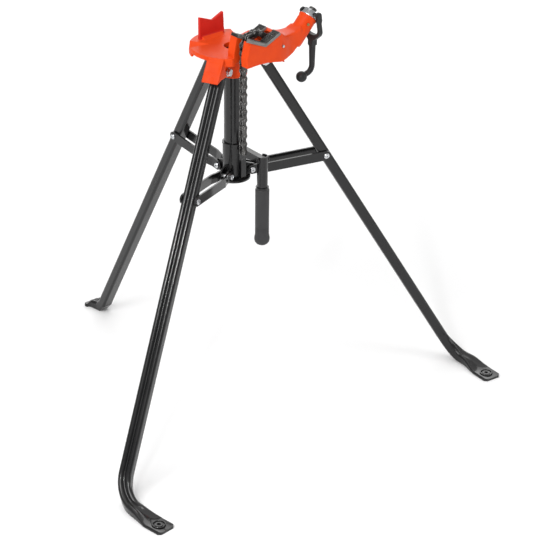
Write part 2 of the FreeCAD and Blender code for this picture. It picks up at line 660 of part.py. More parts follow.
def handle():
    """Forged handle: yoke over the boss, round shank, bent end with a ball."""
    eye = trunnion_centre()
    shank_x = BOSS_END.x + 13.2
    neck = BOSS_END.z - 68.9
    side = [(eye.x - 7.6, eye.z + 7.6, 7.5), (eye.x + 7.6, eye.z + 7.6, 7.5), (shank_x + 8.4, neck + 30, 20),
            (shank_x + 7.5, neck, 0), (shank_x - 7.5, neck, 0), (shank_x - 7.0, neck + 30, 20)]
    band = side_plate(side, ARM_MID - 40, ARM_MID + 40)
    top = neck + 92
    corners = [(ARM_MID - PRONG_OUTER, top, 0), (ARM_MID - PRONG_OUTER, neck + 31, 16),
               (ARM_MID - 7.4, neck + 13, 6), (ARM_MID - 7.4, neck, 0), (ARM_MID + 7.4, neck, 0),
               (ARM_MID + 7.4, neck + 13, 6), (ARM_MID + PRONG_OUTER, neck + 31, 16),
               (ARM_MID + PRONG_OUTER, top, 0), (ARM_MID + PRONG_INNER, top, 0),
               (ARM_MID + PRONG_INNER, neck + 26, 18), (ARM_MID - PRONG_INNER, neck + 26, 18),
               (ARM_MID - PRONG_INNER, top, 0)]
    yoke = band.common(end_plate(corners, shank_x - 33.5, shank_x + 26.5))
    shank = Part.makeCone(7.6, 6.4, HANDLE_SHANK, V(shank_x, ARM_MID, neck), V(0, 0, -1))
    shank = shank.fuse(cylinder(V(shank_x, ARM_MID, neck), UP, 7.4, 12))
    bend_r = 17.0
    sweep = 76.0
    elbow = neck - HANDLE_SHANK
    ring = Part.Face(Part.Wire(Part.makeCircle(6.4, V(shank_x, ARM_MID, elbow), UP)))
    ring = ring.revolve(V(shank_x - bend_r, ARM_MID, elbow), ALONG_Y, sweep)
    turn = math.radians(sweep)
    end = V(shank_x - bend_r + bend_r * math.cos(turn), ARM_MID, elbow - bend_r * math.sin(turn))
    heading = V(-math.sin(turn), 0, -math.cos(turn))
    reach = cylinder(end, heading, 6.4, 14)
    ball = Part.makeSphere(12.3, end + heading * 18, heading)
    solid = tidy(yoke.fuse([shank, ring, reach, ball]))
    bore = cylinder(eye - ALONG_Y * 40, ALONG_Y, TRUNNION_R + PIN_CLEAR, 80)
    return solid.cut(bore)


# ------------------------------------------------------------------ chain
def plate_outline(direction, origin, y0, y1):
    """Waisted side plate between two pins; direction runs from the first pin to the second."""
    half = PITCH / 2
    middle = origin + direction * half
    normal = V(-direction.z, 0, direction.x)
    spread = (half * half + PLATE_WAIST ** 2 - PLATE_R ** 2) / (2 * (PLATE_R - PLATE_WAIST))

    def at(a, b):
        spot = middle + direction * a + normal * b
        return V(spot.x, y0, spot.z)

    lift = PLATE_WAIST + spread
    share = PLATE_R / (PLATE_R + spread)
    touch_x = half - half * share
    touch_y = lift * share
    edges = [
        Part.Arc(at(touch_x, touch_y), at(half + PLATE_R, 0), at(touch_x, -touch_y)),
        Part.Arc(at(touch_x, -touch_y), at(0, -PLATE_WAIST), at(-touch_x, -touch_y)),
        Part.Arc(at(-touch_x, -touch_y), at(-half - PLATE_R, 0), at(-touch_x, touch_y)),
        Part.Arc(at(-touch_x, touch_y), at(0, PLATE_WAIST), at(touch_x, touch_y)),
    ]
    return Part.Face(Part.Wire([edge.toShape() for edge in edges])).extrude(V(0, y1 - y0, 0))


def chain_link(first, second, outer, clearance, first_bush=True):
    """One link between two pin centres: an outer pair with pins or an inner pair with bushes."""
    direction = second - first
    direction.normalize()
    low, high = OUTER_PLATE if outer else INNER_PLATE
    pieces = []
    for side in (-1, 1):
        y0, y1 = sorted((ARM_MID + side * low, ARM_MID + side * high))
        pieces.append(plate_outline(direction, first, y0, y1))
    ends = (first, second) if first_bush else (second,)
    for end in ends:
        if outer:
            start = V(end.x, ARM_MID - PIN_END, end.z)
            pieces.append(cylinder(start, ALONG_Y, PIN_R, 2 * PIN_END))
        else:
            start = V(end.x, ARM_MID - low - 0.5, end.z)
            pieces.append(cylinder(start, ALONG_Y, BUSH_R, 2 * low + 1.0))
    link = tidy(pieces[0].fuse(pieces[1:]))
    if not outer:
        for end in (first, second):
            start = V(end.x, ARM_MID - 10, end.z)
            link = link.cut(cylinder(start, ALONG_Y, PIN_R + clearance, 20))
    return link


def anchor_pin():
    """Pin that joins the chain to the screw's tongue."""
    eye = chain_pins()[0]
    pin = cylinder(V(eye.x, ARM_MID - PIN_END, eye.z), ALONG_Y, PIN_R, 2 * PIN_END)
    return pin


def seated_links():
    """Chain lying on the head, from the screw over the jaws to the left end."""
    pins = chain_pins()
    links = [anchor_pin()]
    last = len(pins) - 2
    for i in range(len(pins) - 1):
        outer = i % 2 == 1
        link = chain_link(pins[i], pins[i + 1], outer, 0.0, first_bush=i > 0)
        if i == last:
            start = V(pins[-1].x, ARM_MID - 10, pins[-1].z)
            link = link.cut(cylinder(start, ALONG_Y, PIN_R + PIN_CLEAR, 20))
        links.append(link)
    return links


def hanging_link(index):
    """Link number index of the free end, counted from the head."""
    top = chain_pins()[-1]
    first = top - UP * (PITCH * index)
    second = top - UP * (PITCH * (index + 1))
    return chain_link(first, second, index % 2 == 0, PIN_CLEAR)


# ------------------------------------------------------------------ sleeve group
def sleeve():
    """Sliding sleeve with a lip at the top and three lugs for the braces."""
    height = SLEEVE_TOP - SLEEVE_BOTTOM
    body = cylinder(V(0, 0, SLEEVE_BOTTOM), UP, SLEEVE_R, height)
    body = body.fuse(cylinder(V(0, 0, SLEEVE_TOP - SLEEVE_LIP_H), UP, SLEEVE_R + SLEEVE_LIP, SLEEVE_LIP_H))
    inner = SLEEVE_R - 1.0
    lug_plan = [(inner, LUG_Z - 12, 0), (LUG_R + 10.5, LUG_Z - 12, 10), (LUG_R + 10.5, LUG_Z + 11, 10),
                (inner, LUG_Z + 19, 0)]
    lug = side_plate(lug_plan, -LUG_HALF, LUG_HALF)
    lug = lug.cut(box(SLEEVE_R + 4, LUG_R + 20, -LUG_HALF + 4, LUG_HALF - 4, LUG_Z - 20, LUG_Z + 30))
    lug = lug.cut(cylinder(V(LUG_R, -40, LUG_Z), ALONG_Y, BRACE_BOLT_R, 80))
    for azimuth in (90, -FRONT_AZIMUTH, 180 + FRONT_AZIMUTH):
        body = body.fuse(spin(lug, azimuth))
    bore = cylinder(V(0, 0, SLEEVE_BOTTOM - 1), UP, POST_R + SLIDE_CLEAR, height + 2)
    return tidy(body.cut(bore))


def lever_bracket():
    """Bent bar welded to the sleeve; its outer end is the tongue that the lever turns on."""
    low = LEVER_Z - STRAP_HALF
    high = LEVER_Z + STRAP_HALF
    end = LEVER_Y - STRAP_HALF
    shape = [(-21, STRAP_BOTTOM, 0), (-STRAP_BACK, STRAP_BOTTOM, 3), (-STRAP_BACK, low - 6, 12),
             (LEVER_Y + 14, low, 0), (end, low, STRAP_HALF - 0.01), (end, high, STRAP_HALF - 0.01),
             (LEVER_Y + 14, high, 0), (-40, high + 2, 0), (-21, high + 2, 0)]
    solid = end_plate(shape, -STRAP_HALF, STRAP_HALF)
    solid = solid.cut([cylinder(V(0, 0, 0), UP, SLEEVE_R, SLEEVE_TOP - SLEEVE_LIP_H),
                       cylinder(V(0, 0, SLEEVE_TOP - SLEEVE_LIP_H), UP, SLEEVE_R + SLEEVE_LIP, SLEEVE_LIP_H)])
    return tidy(solid.cut(cylinder(V(-40, LEVER_Y, LEVER_Z), ALONG_X, LEVER_PIN_R, 80)))


def cross_bolt(centre, axis, radius, reach, head_r, head_h, pan):
    """Bolt centred on a point: shank either way to reach, head on the +axis side."""
    extra = 3.0
    shank = cylinder(centre - axis * (reach + extra), axis, radius, 2 * reach + extra)
    start = centre + axis * reach
    if pan:
        head = pan_head(start, axis, head_r, head_h)
    else:
        head = prism(start, axis, head_r * 2, head_h)
    return tidy(shank.fuse(head))


def cross_nut(centre, axis, radius, reach, across, height):
    """Nut on the far end of a cross bolt."""
    nut = prism(centre - axis * reach, axis * -1, across, height)
    return nut.cut(cylinder(centre - axis * (reach + 40), axis, radius, 80))


def washer(centre, axis, inner, outer, reach, thick):
    """Flat washer on the +axis side."""
    ring = cylinder(centre + axis * reach, axis, outer, thick)
    return ring.cut(cylinder(centre, axis, inner, reach + thick + 1))


# ------------------------------------------------------------------ lever
def lever_tube():
    """Tube that hangs from the bar's tongue into the grip, slotted on the sleeve side."""
    length = LEVER_TOP - (GRIP_END + 22)
    tube = cylinder(V(0, LEVER_Y, GRIP_END + 22), UP, LEVER_TUBE_R, length)
    tube = tube.cut(cylinder(V(0, LEVER_Y, 0), UP, LEVER_TUBE_R - LEVER_WALL, LEVER_TOP + 1))
    half = STRAP_HALF + FACE_GAP
    slot = box(-half, half, LEVER_Y, LEVER_Y + LEVER_TUBE_R + 1, LEVER_Z - STRAP_HALF - 5, LEVER_TOP + 1)
    return tube.cut([slot, cylinder(V(-40, LEVER_Y, LEVER_Z), ALONG_X, LEVER_PIN_R + PIN_CLEAR, 80)])


def revolved(profile, centre):
    """Solid of revolution about a vertical line; profile corners are (radius, z, rounding)."""
    face = outline(profile, lambda a, b: V(centre.x + a, centre.y, b))
    return face.revolve(V(centre.x, centre.y, 0), UP, 360)


def lever_grip():
    """Closed rubber grip with a flared end."""
    bottom = GRIP_END
    profile = [(0, bottom, 0), (GRIP_R + 1.6, bottom, 5), (GRIP_R + 1.6, bottom + 12, 4),
               (GRIP_R - 0.2, bottom + 18, 6), (GRIP_R, COLLAR_Z - 1.5, 2), (LEVER_TUBE_R, COLLAR_Z - 1.5, 0),
               (LEVER_TUBE_R, bottom + 22, 0), (0, bottom + 22, 0)]
    return revolved(profile, V(0, LEVER_Y, 0))


def lever_collar():
    """Dark stop ring above the grip."""
    ring = cylinder(V(0, LEVER_Y, COLLAR_Z - 1.5), UP, GRIP_R - 1.0, 4.5)
    return ring.cut(cylinder(V(0, LEVER_Y, 0), UP, LEVER_TUBE_R, LEVER_TOP))


# ------------------------------------------------------------------ assembly
FRONT_BRACE_R = FRONT_PIVOT_R + FRONT_SLOPE * (PIVOT_Z - FRONT_BRACE_Z)
REAR_BRACE_R = REAR_PIVOT_R + REAR_SLOPE * (PIVOT_Z - REAR_BRACE_Z)
SIDES = {
    "rear": (90.0, True, 1),
    "right": (-FRONT_AZIMUTH, False, -1),
    "left": (180 + FRONT_AZIMUTH, False, 1),
}


def front_reach():
    """How far the front pads reach towards -Y, with their corners cut."""
    azimuth = math.radians(180 + FRONT_AZIMUTH)
    lean = math.atan(FRONT_SLOPE)
    radial, tangent, flat, _ = FRONT_FOOT
    heading = azimuth + math.acos(radial)
    ground_r = FRONT_PIVOT_R + (PIVOT_Z - PAD_T / 2) * math.tan(lean)
    tip = math.sin(azimuth) * ground_r + math.sin(heading) * (tangent + flat)
    return tip - abs(math.cos(heading)) * (PAD_HALF - PAD_CORNER)


def rear_reach():
    """How far the rear pad reaches towards +Y."""
    return REAR_PIVOT_R + (PIVOT_Z - PAD_T / 2) * REAR_SLOPE + REAR_FOOT[1] + REAR_FOOT[2]


SHIFT_Y = -(front_reach() + rear_reach()) / 2


def export(name, solids):
    """Write one node, moved so that the stand's footprint is centred on the origin."""
    group = solids if isinstance(solids, list) else [solids]
    shape = group[0] if len(group) == 1 else Part.makeCompound(group)
    shape = shape.copy()
    shape.translate(V(0, SHIFT_Y, 0))
    shape.exportStep("parts/" + name + ".step")
    print(name, len(shape.Solids), round(shape.Volume), shape.isValid(), flush=True)


def build_head():
    """Everything fixed to the head."""
    export("head_casting", head_casting())
    export("vee_jaw_near", near_jaw())
    export("vee_jaw_far", vee_jaw(ARM_MID + SLOT_HALF, ARM_MID + ARM_HALF + 1, FAR_JAW_LEFT))
    export("jaw_screws", jaw_screws())
    export("guide_pin", guide_pin())
    export("key_screw", key_pin())
    collar = washer(BOSS_END, SCREW_DIR, SCREW_R + 0.3, WASHER_R, 0.0, WASHER_T)
    export("screw_washer", collar)
    post = cylinder(V(0, 0, SLEEVE_BOTTOM), UP, POST_R, POST_TOP - SLEEVE_BOTTOM)
    post = post.cut(cylinder(V(0, 0, 0), UP, POST_R - POST_WALL, POST_TOP + 1))
    export("centre_post", post)
    stop = cylinder(V(0, 0, SLEEVE_BOTTOM - STOP_T), UP, STOP_R, STOP_T)
    stop = stop.fuse(cylinder(V(0, 0, SLEEVE_BOTTOM), UP, POST_R - POST_WALL, 12))
    stop = stop.cut(cylinder(V(0, 0, 0), UP, 9.0, POST_TOP))
    export("post_end_plate", tidy(stop))
    bolts = []
    nuts = []
    rings = []
    for name in ("left", "right", "rear"):
        azimuth, rear, side = SIDES[name]
        centre = V(REAR_PIVOT_R if rear else FRONT_PIVOT_R, 0, PIVOT_Z)
        axis = ALONG_Y * side
        ring_t = 1.5
        bolts.append(spin(cross_bolt(centre, axis, PIVOT_BOLT_R, NOSE_HALF + ring_t, 7.5, 5.5, False), azimuth))
        nuts.append(spin(cross_nut(centre, axis, PIVOT_BOLT_R, NOSE_HALF, 15.0, 6.5), azimuth))
        rings.append(spin(washer(centre, axis, PIVOT_BOLT_R, 9.2, NOSE_HALF, ring_t), azimuth))
    export("leg_pivot_bolts", bolts)
    export("leg_pivot_nuts", nuts)
    export("leg_pivot_washers", rings)
    export("chain_seated", seated_links())


def build_sleeve():
    """Everything that slides on the post."""
    export("slide_sleeve", sleeve())
    export("lever_bracket", lever_bracket())
    bolts = []
    nuts = []
    reach = LUG_HALF + 2 * FACE_GAP + BAR_T
    for name in ("left", "right", "rear"):
        azimuth, _, side = SIDES[name]
        centre = V(LUG_R, 0, LUG_Z)
        axis = ALONG_Y * side
        bolts.append(spin(cross_bolt(centre, axis, BRACE_BOLT_R, reach, 6.5, 4.2, True), azimuth))
        nuts.append(spin(cross_nut(centre, axis, BRACE_BOLT_R, reach, 13.0, 5.5), azimuth))
    export("brace_bolts", bolts)
    export("brace_nuts", nuts)
    centre = V(0, LEVER_Y, LEVER_Z)
    reach = LEVER_TUBE_R + FACE_GAP
    export("lever_bolt", cross_bolt(centre, ALONG_X * -1, LEVER_PIN_R, reach, 5.2, 2.0, True))
    export("lever_nut", cross_nut(centre, ALONG_X * -1, LEVER_PIN_R, reach, 11.0, 4.0))


def build_legs():
    """Legs and their folding braces."""
    for name, (azimuth, rear, side) in SIDES.items():
        if rear:
            solid = leg(REAR_PIVOT_R, REAR_SLOPE, REAR_BRACE_Z, REAR_FOOT, side)
            bars, screws = brace(REAR_BRACE_R, REAR_BRACE_Z)
        else:
            solid = leg(FRONT_PIVOT_R, FRONT_SLOPE, FRONT_BRACE_Z, FRONT_FOOT, side)
            bars, screws = brace(FRONT_BRACE_R, FRONT_BRACE_Z)
        export("leg_" + name, spin(solid, azimuth))
        export("brace_bars_" + name, [spin(piece, azimuth) for piece in bars])
        export("brace_screws_" + name, [spin(piece, azimuth) for piece in screws])


def build_moving():
    """Lever, drawing screw with nut and handle, hanging chain."""
    export("lever_tube", lever_tube())
    export("lever_collar", lever_collar())
    export("lever_grip", lever_grip())
    export("draw_screw", draw_screw())
    export("draw_nut", draw_nut())
    export("nut_trunnions", trunnions())
    export("draw_handle", handle())
    for index in range(HANGING_LINKS):
        export("chain_link_%02d" % (index + 1), hanging_link(index))


build_head()
build_sleeve()
build_legs()
build_moving()
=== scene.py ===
"""Finishes and detail of a folding tripod stand with a top-screw chain vise, dressed over its frame."""
import json
import logging
import math
from dataclasses import dataclass, replace
from enum import Enum

import bmesh
import bpy
from mathutils import Matrix, Vector

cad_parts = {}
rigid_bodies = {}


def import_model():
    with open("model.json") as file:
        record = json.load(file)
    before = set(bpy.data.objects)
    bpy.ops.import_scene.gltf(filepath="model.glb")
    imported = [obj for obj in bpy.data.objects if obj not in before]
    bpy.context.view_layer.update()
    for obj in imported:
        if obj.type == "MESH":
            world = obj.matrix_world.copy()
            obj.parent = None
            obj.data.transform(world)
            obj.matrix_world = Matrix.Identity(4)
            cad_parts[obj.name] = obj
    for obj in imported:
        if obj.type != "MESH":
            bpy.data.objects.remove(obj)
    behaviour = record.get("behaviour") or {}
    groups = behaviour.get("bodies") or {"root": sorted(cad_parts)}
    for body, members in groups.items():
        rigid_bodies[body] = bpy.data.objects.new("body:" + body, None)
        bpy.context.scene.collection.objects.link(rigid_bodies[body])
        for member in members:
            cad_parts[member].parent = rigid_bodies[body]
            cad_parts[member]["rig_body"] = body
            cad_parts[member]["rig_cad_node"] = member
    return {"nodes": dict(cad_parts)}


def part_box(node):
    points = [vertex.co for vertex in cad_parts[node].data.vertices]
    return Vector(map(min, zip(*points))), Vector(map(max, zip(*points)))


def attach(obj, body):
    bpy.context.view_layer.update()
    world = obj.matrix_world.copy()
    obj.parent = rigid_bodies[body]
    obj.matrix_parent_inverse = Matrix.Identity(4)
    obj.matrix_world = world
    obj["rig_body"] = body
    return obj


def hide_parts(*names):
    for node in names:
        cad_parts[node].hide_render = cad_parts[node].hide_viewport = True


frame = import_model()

log = logging.getLogger("tripod_stand")
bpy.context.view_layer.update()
MM = 0.001
SMOOTH_STEP = 0.5
SKIN_GAP = 0.004 * MM
SKIN_SLIVER = 0.002 * MM
TURNED_GAP = 0.01 * MM
TURNED_CREASE = math.radians(40.0)
FLAT_TURN = math.radians(0.4)
POST_LOW, POST_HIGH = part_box("centre_post")
POST = Vector(((POST_LOW.x + POST_HIGH.x) / 2, (POST_LOW.y + POST_HIGH.y) / 2, 0.0))


# ---------------------------------------------------------------- modelling helpers
def deselect() -> None:
    """Leave every object unselected, so that an operator acts on one piece."""
    if bpy.context.object and bpy.context.object.mode != "OBJECT":
        bpy.ops.object.mode_set(mode="OBJECT")
    bpy.ops.object.select_all(action="DESELECT")


def only(piece: bpy.types.Object) -> bpy.types.Object:
    """Select one piece and make it active.

    Args:
        piece: the object that the next operator works on.

    Returns:
        The same object.
    """
    deselect()
    piece.select_set(True)
    bpy.context.view_layer.objects.active = piece
    return piece


def settle(piece: bpy.types.Object) -> bpy.types.Object:
    """Put a piece's place, turn and scale into its mesh, so that its object sits at the origin.

    Args:
        piece: the object to settle.

    Returns:
        The same object.
    """
    only(piece)
    bpy.ops.object.transform_apply(location=True, rotation=True, scale=True)
    return piece


def finish_modifier(piece: bpy.types.Object, kind: str, **settings: object) -> None:
    """Add a modifier and apply it at once.

    Args:
        piece: the object that gets the modifier.
        kind: Blender's name for the modifier type.
        settings: the modifier's own values.
    """
    only(piece)
    modifier = piece.modifiers.new(kind.lower(), kind)
    for key, value in settings.items():
        setattr(modifier, key, value)
    bpy.ops.object.modifier_apply(modifier=modifier.name)


def spot(x: float, y: float, z: float) -> Vector:
    """Turn a place in millimetres about the post's foot into the scene's metres.

    Args:
        x: towards the vise screw.
        y: along a held pipe, towards the rear leg.
        z: height over the floor.

    Returns:
        The place in the scene.
    """
    return POST + Vector((x, y, z)) * MM


def block(name: str, corners: list[Vector], push: Vector) -> bpy.types.Object:
    """Raise a flat outline into a closed block.

    Args:
        name: the new object's name.
        corners: the outline, in order round it.
        push: how far and which way the outline is raised.

    Returns:
        The block, with its faces outwards.
    """
    deselect()
    bpy.ops.mesh.primitive_circle_add(vertices=len(corners), fill_type="NGON")
    piece = bpy.context.object
    piece.name = name
    for vertex, corner in zip(piece.data.vertices, corners):
        vertex.co = corner
    bpy.ops.object.mode_set(mode="EDIT")
    bpy.ops.mesh.select_all(action="SELECT")
    bpy.ops.mesh.extrude_region_move(TRANSFORM_OT_translate={"value": push})
    bpy.ops.mesh.select_all(action="SELECT")
    bpy.ops.mesh.normals_make_consistent(inside=False)
    bpy.ops.object.mode_set(mode="OBJECT")
    return piece


def turned(name: str, profile: list[Vector], centre: Vector, steps: int) -> bpy.types.Object:
    """Turn a closed profile about a vertical line into a solid.

    Args:
        name: the new object's name.
        profile: corners in order round the profile; its two ends lie on the line.
        centre: a place on the line.
        steps: faces round the line.

    Returns:
        The turned solid, with its faces outwards.
    """
    deselect()
    bpy.ops.mesh.primitive_circle_add(vertices=len(profile), fill_type="NOTHING")
    piece = bpy.context.object
    piece.name = name
    for vertex, corner in zip(piece.data.vertices, profile):
        vertex.co = corner
    bpy.ops.object.mode_set(mode="EDIT")
    bpy.ops.mesh.select_all(action="SELECT")
    bpy.ops.mesh.spin(steps=steps, angle=2.0 * math.pi, center=centre, axis=(0.0, 0.0, 1.0))
    bpy.ops.mesh.select_all(action="SELECT")
    bpy.ops.mesh.remove_doubles(threshold=TURNED_GAP)
    bpy.ops.mesh.delete_loose(use_verts=True, use_edges=True, use_faces=False)
    bpy.ops.mesh.select_all(action="SELECT")
    bpy.ops.mesh.normals_make_consistent(inside=False)
    bpy.ops.object.mode_set(mode="OBJECT")
    settle(piece)
    bpy.ops.object.shade_smooth_by_angle(angle=TURNED_CREASE)
    return piece


def smooth_share(value: float, low: float, high: float) -> float:
    """How far a value has come from low to high, easing in and out.

    Args:
        value: the value.
        low: where the share is 0.
        high: where the share is 1.

    Returns:
        A share from 0 to 1.
    """
    share = min(1.0, max(0.0, (value - low) / (high - low)))
    return share * share * (3.0 - 2.0 * share)


def carve(piece: bpy.types.Object, cutter: bpy.types.Object) -> None:
    """Cut a block out of a piece and throw the block away.

    Args:
        piece: what is cut.
        cutter: the closed block that cuts.
    """
    finish_modifier(piece, "BOOLEAN", operation="DIFFERENCE", object=cutter, solver="EXACT")
    bpy.data.objects.remove(cutter)


def add_to(piece: bpy.types.Object, extra: bpy.types.Object) -> None:
    """Put another mesh into a piece.

    Args:
        piece: what stays.
        extra: the object whose mesh moves into the piece.
    """
    only(piece)
    extra.select_set(True)
    bpy.ops.object.join()


def merged_copy(node: str, name: str) -> bpy.types.Object:
    """Copy a CAD node's mesh and join its loose triangles into one skin.

    Args:
        node: the CAD node to copy.
        name: the new piece's name.

    Returns:
        The new piece, which stands for the node.
    """
    source = frame["nodes"][node]
    piece = bpy.data.objects.new(name, source.data.copy())
    bpy.context.scene.collection.objects.link(piece)
    piece.data.materials.clear()
    mesh = bmesh.new()
    mesh.from_mesh(piece.data)
    bmesh.ops.remove_doubles(mesh, verts=mesh.verts, dist=SKIN_GAP)
    bmesh.ops.dissolve_degenerate(mesh, edges=mesh.edges, dist=SKIN_SLIVER)
    mesh.to_mesh(piece.data)
    mesh.free()
    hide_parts(node)
    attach(piece, source["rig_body"])
    return piece


def even_skin(piece: bpy.types.Object, voxel: float, rounds: int) -> None:
    """Give a piece a new skin of small even cells, with every edge rounded.

    Args:
        piece: the object that gets the skin.
        voxel: size of the cells, in metres.
        rounds: how many times the skin is smoothed.
    """
    finish_modifier(piece, "REMESH", mode="VOXEL", voxel_size=voxel, adaptivity=0.0)
    finish_modifier(piece, "SMOOTH", factor=SMOOTH_STEP, iterations=rounds)


def thin(piece: bpy.types.Object, keep: float) -> None:
    """Thin out an even skin and shade it smooth.

    Args:
        piece: the object with the skin.
        keep: share of the faces that stays.
    """
    finish_modifier(piece, "DECIMATE", ratio=keep)
    only(piece)
    bpy.ops.object.shade_smooth()


def soften(piece: bpy.types.Object, voxel: float, rounds: int, keep: float) -> None:
    """Round every edge of a cast, forged or welded piece.

    Args:
        piece: the object to soften.
        voxel: size of the new skin's cells, in metres.
        rounds: how many times the skin is smoothed.
        keep: share of the faces that stays.
    """
    even_skin(piece, voxel, rounds)
    thin(piece, keep)


def break_edges(piece: bpy.types.Object, width: float, segments: int = 2, angle: float = 32.0) -> None:
    """Bevel the sharp edges of a machined, cut or folded piece.

    Args:
        piece: the object to bevel.
        width: how far the bevel reaches from the edge, in metres.
        segments: faces across each bevel.
        angle: edges that turn by more than this, in degrees, are bevelled.
    """
    finish_modifier(piece, "DECIMATE", decimate_type="DISSOLVE", angle_limit=FLAT_TURN)
    finish_modifier(piece, "BEVEL", width=width, segments=segments, limit_method="ANGLE",
                    angle_limit=math.radians(angle), use_clamp_overlap=True, harden_normals=False)
    only(piece)
    bpy.ops.object.shade_smooth_by_angle(angle=math.radians(angle))


# ---------------------------------------------------------------- finishes
class Base(Enum):
    """What a finish lies on."""

    BARE_METAL = "bare metal"
    PAINTED_IRON = "painted iron"
    RUBBER = "rubber"


@dataclass(frozen=True)
class Finish:
    """One surface finish of the stand, with real-scale detail in metres."""

    name: str
    base: Base
    colour: tuple[float, float, float]
    shade: tuple[float, float, float]
    roughness: float
    roughness_swing: float
    patch_size: float
    grain_size: float
    grain_height: float
    wear: float
    wear_colour: tuple[float, float, float]
    edge_round: float
    metallic: float = 0.0
    coat: float = 0.0
    specular: float = 0.5
    dust: float = 0.02


HEAD_RED = Finish(
    name="head_red", base=Base.PAINTED_IRON, colour=(0.74, 0.066, 0.007), shade=(0.66, 0.050, 0.006),
    roughness=0.40, roughness_swing=0.07, specular=0.12, patch_size=0.05, grain_size=0.0014,
    grain_height=0.00016, wear=0.40, wear_colour=(0.88, 0.17, 0.06), edge_round=0.0012)
# Painted shade: a darker, more crimson copy of HEAD_RED, laid on the pipe rest's faces to stand for the shade
# that they sit in.
REST_PAINTED_SHADE = replace(HEAD_RED, name="rest_painted_shade", colour=(0.62, 0.028, 0.018), shade=(0.52, 0.020, 0.014),
                   wear_colour=(0.80, 0.12, 0.07))
STAND_BLACK = Finish(
    name="stand_black", base=Base.PAINTED_IRON, colour=(0.006, 0.006, 0.0065),
    shade=(0.003, 0.003, 0.0035), roughness=0.30, roughness_swing=0.06, coat=0.70, specular=0.12,
    patch_size=0.06, grain_size=0.0016, grain_height=0.00004, wear=0.30,
    wear_colour=(0.075, 0.075, 0.077), edge_round=0.0008, dust=0.03)
FORGED_BLACK = Finish(
    name="forged_black", base=Base.PAINTED_IRON, colour=(0.017, 0.017, 0.018),
    shade=(0.010, 0.010, 0.011), roughness=0.46, roughness_swing=0.10, specular=0.35, patch_size=0.02,
    grain_size=0.0020, grain_height=0.00028, wear=0.40, wear_colour=(0.10, 0.10, 0.10),
    edge_round=0.0009, dust=0.03)
JAW_STEEL = Finish(
    name="jaw_steel", base=Base.BARE_METAL, colour=(0.24, 0.235, 0.225), shade=(0.15, 0.147, 0.142),
    roughness=0.44, roughness_swing=0.10, metallic=0.35, patch_size=0.014, grain_size=0.0007,
    grain_height=0.00007, wear=0.8, wear_colour=(0.46, 0.45, 0.43), edge_round=0.0005)
JAW_TEETH = Finish(
    name="jaw_teeth", base=Base.BARE_METAL, colour=(0.060, 0.058, 0.055), shade=(0.030, 0.029, 0.028),
    roughness=0.42, roughness_swing=0.10, metallic=0.60, patch_size=0.010, grain_size=0.0007,
    grain_height=0.00007, wear=1.2, wear_colour=(0.42, 0.41, 0.39), edge_round=0.0005)
CHAIN_STEEL = Finish(
    name="chain_steel", base=Base.BARE_METAL, colour=(0.110, 0.107, 0.103), shade=(0.036, 0.035, 0.034),
    roughness=0.30, roughness_swing=0.10, metallic=0.75, patch_size=0.022, grain_size=0.0006,
    grain_height=0.00003, wear=1.8, wear_colour=(0.62, 0.61, 0.60), edge_round=0.0008)
OLIVE_ZINC = Finish(
    name="olive_zinc", base=Base.BARE_METAL, colour=(0.42, 0.33, 0.14), shade=(0.30, 0.22, 0.09),
    roughness=0.32, roughness_swing=0.08, metallic=0.9, patch_size=0.004, grain_size=0.0004,
    grain_height=0.00002, wear=0.3, wear_colour=(0.70, 0.62, 0.40), edge_round=0.0004)
ZINC = Finish(
    name="zinc", base=Base.BARE_METAL, colour=(0.72, 0.73, 0.74), shade=(0.52, 0.53, 0.55),
    roughness=0.26, roughness_swing=0.08, metallic=1.0, patch_size=0.006, grain_size=0.0004,
    grain_height=0.00002, wear=0.3, wear_colour=(0.88, 0.88, 0.88), edge_round=0.0004)
BRIGHT_STEEL = Finish(
    name="bright_steel", base=Base.BARE_METAL, colour=(0.55, 0.55, 0.56), shade=(0.38, 0.38, 0.39),
    roughness=0.24, roughness_swing=0.08, metallic=1.0, patch_size=0.005, grain_size=0.0004,
    grain_height=0.00002, wear=0.3, wear_colour=(0.8, 0.8, 0.8), edge_round=0.0004)
GRIP_RUBBER = Finish(
    name="grip_rubber", base=Base.RUBBER, colour=(0.034, 0.034, 0.035), shade=(0.024, 0.024, 0.025),
    roughness=0.58, roughness_swing=0.06, specular=0.4, patch_size=0.03, grain_size=0.0009,
    grain_height=0.00007, wear=0.0, wear_colour=(0.05, 0.05, 0.05), edge_round=0.0008, dust=0.05)


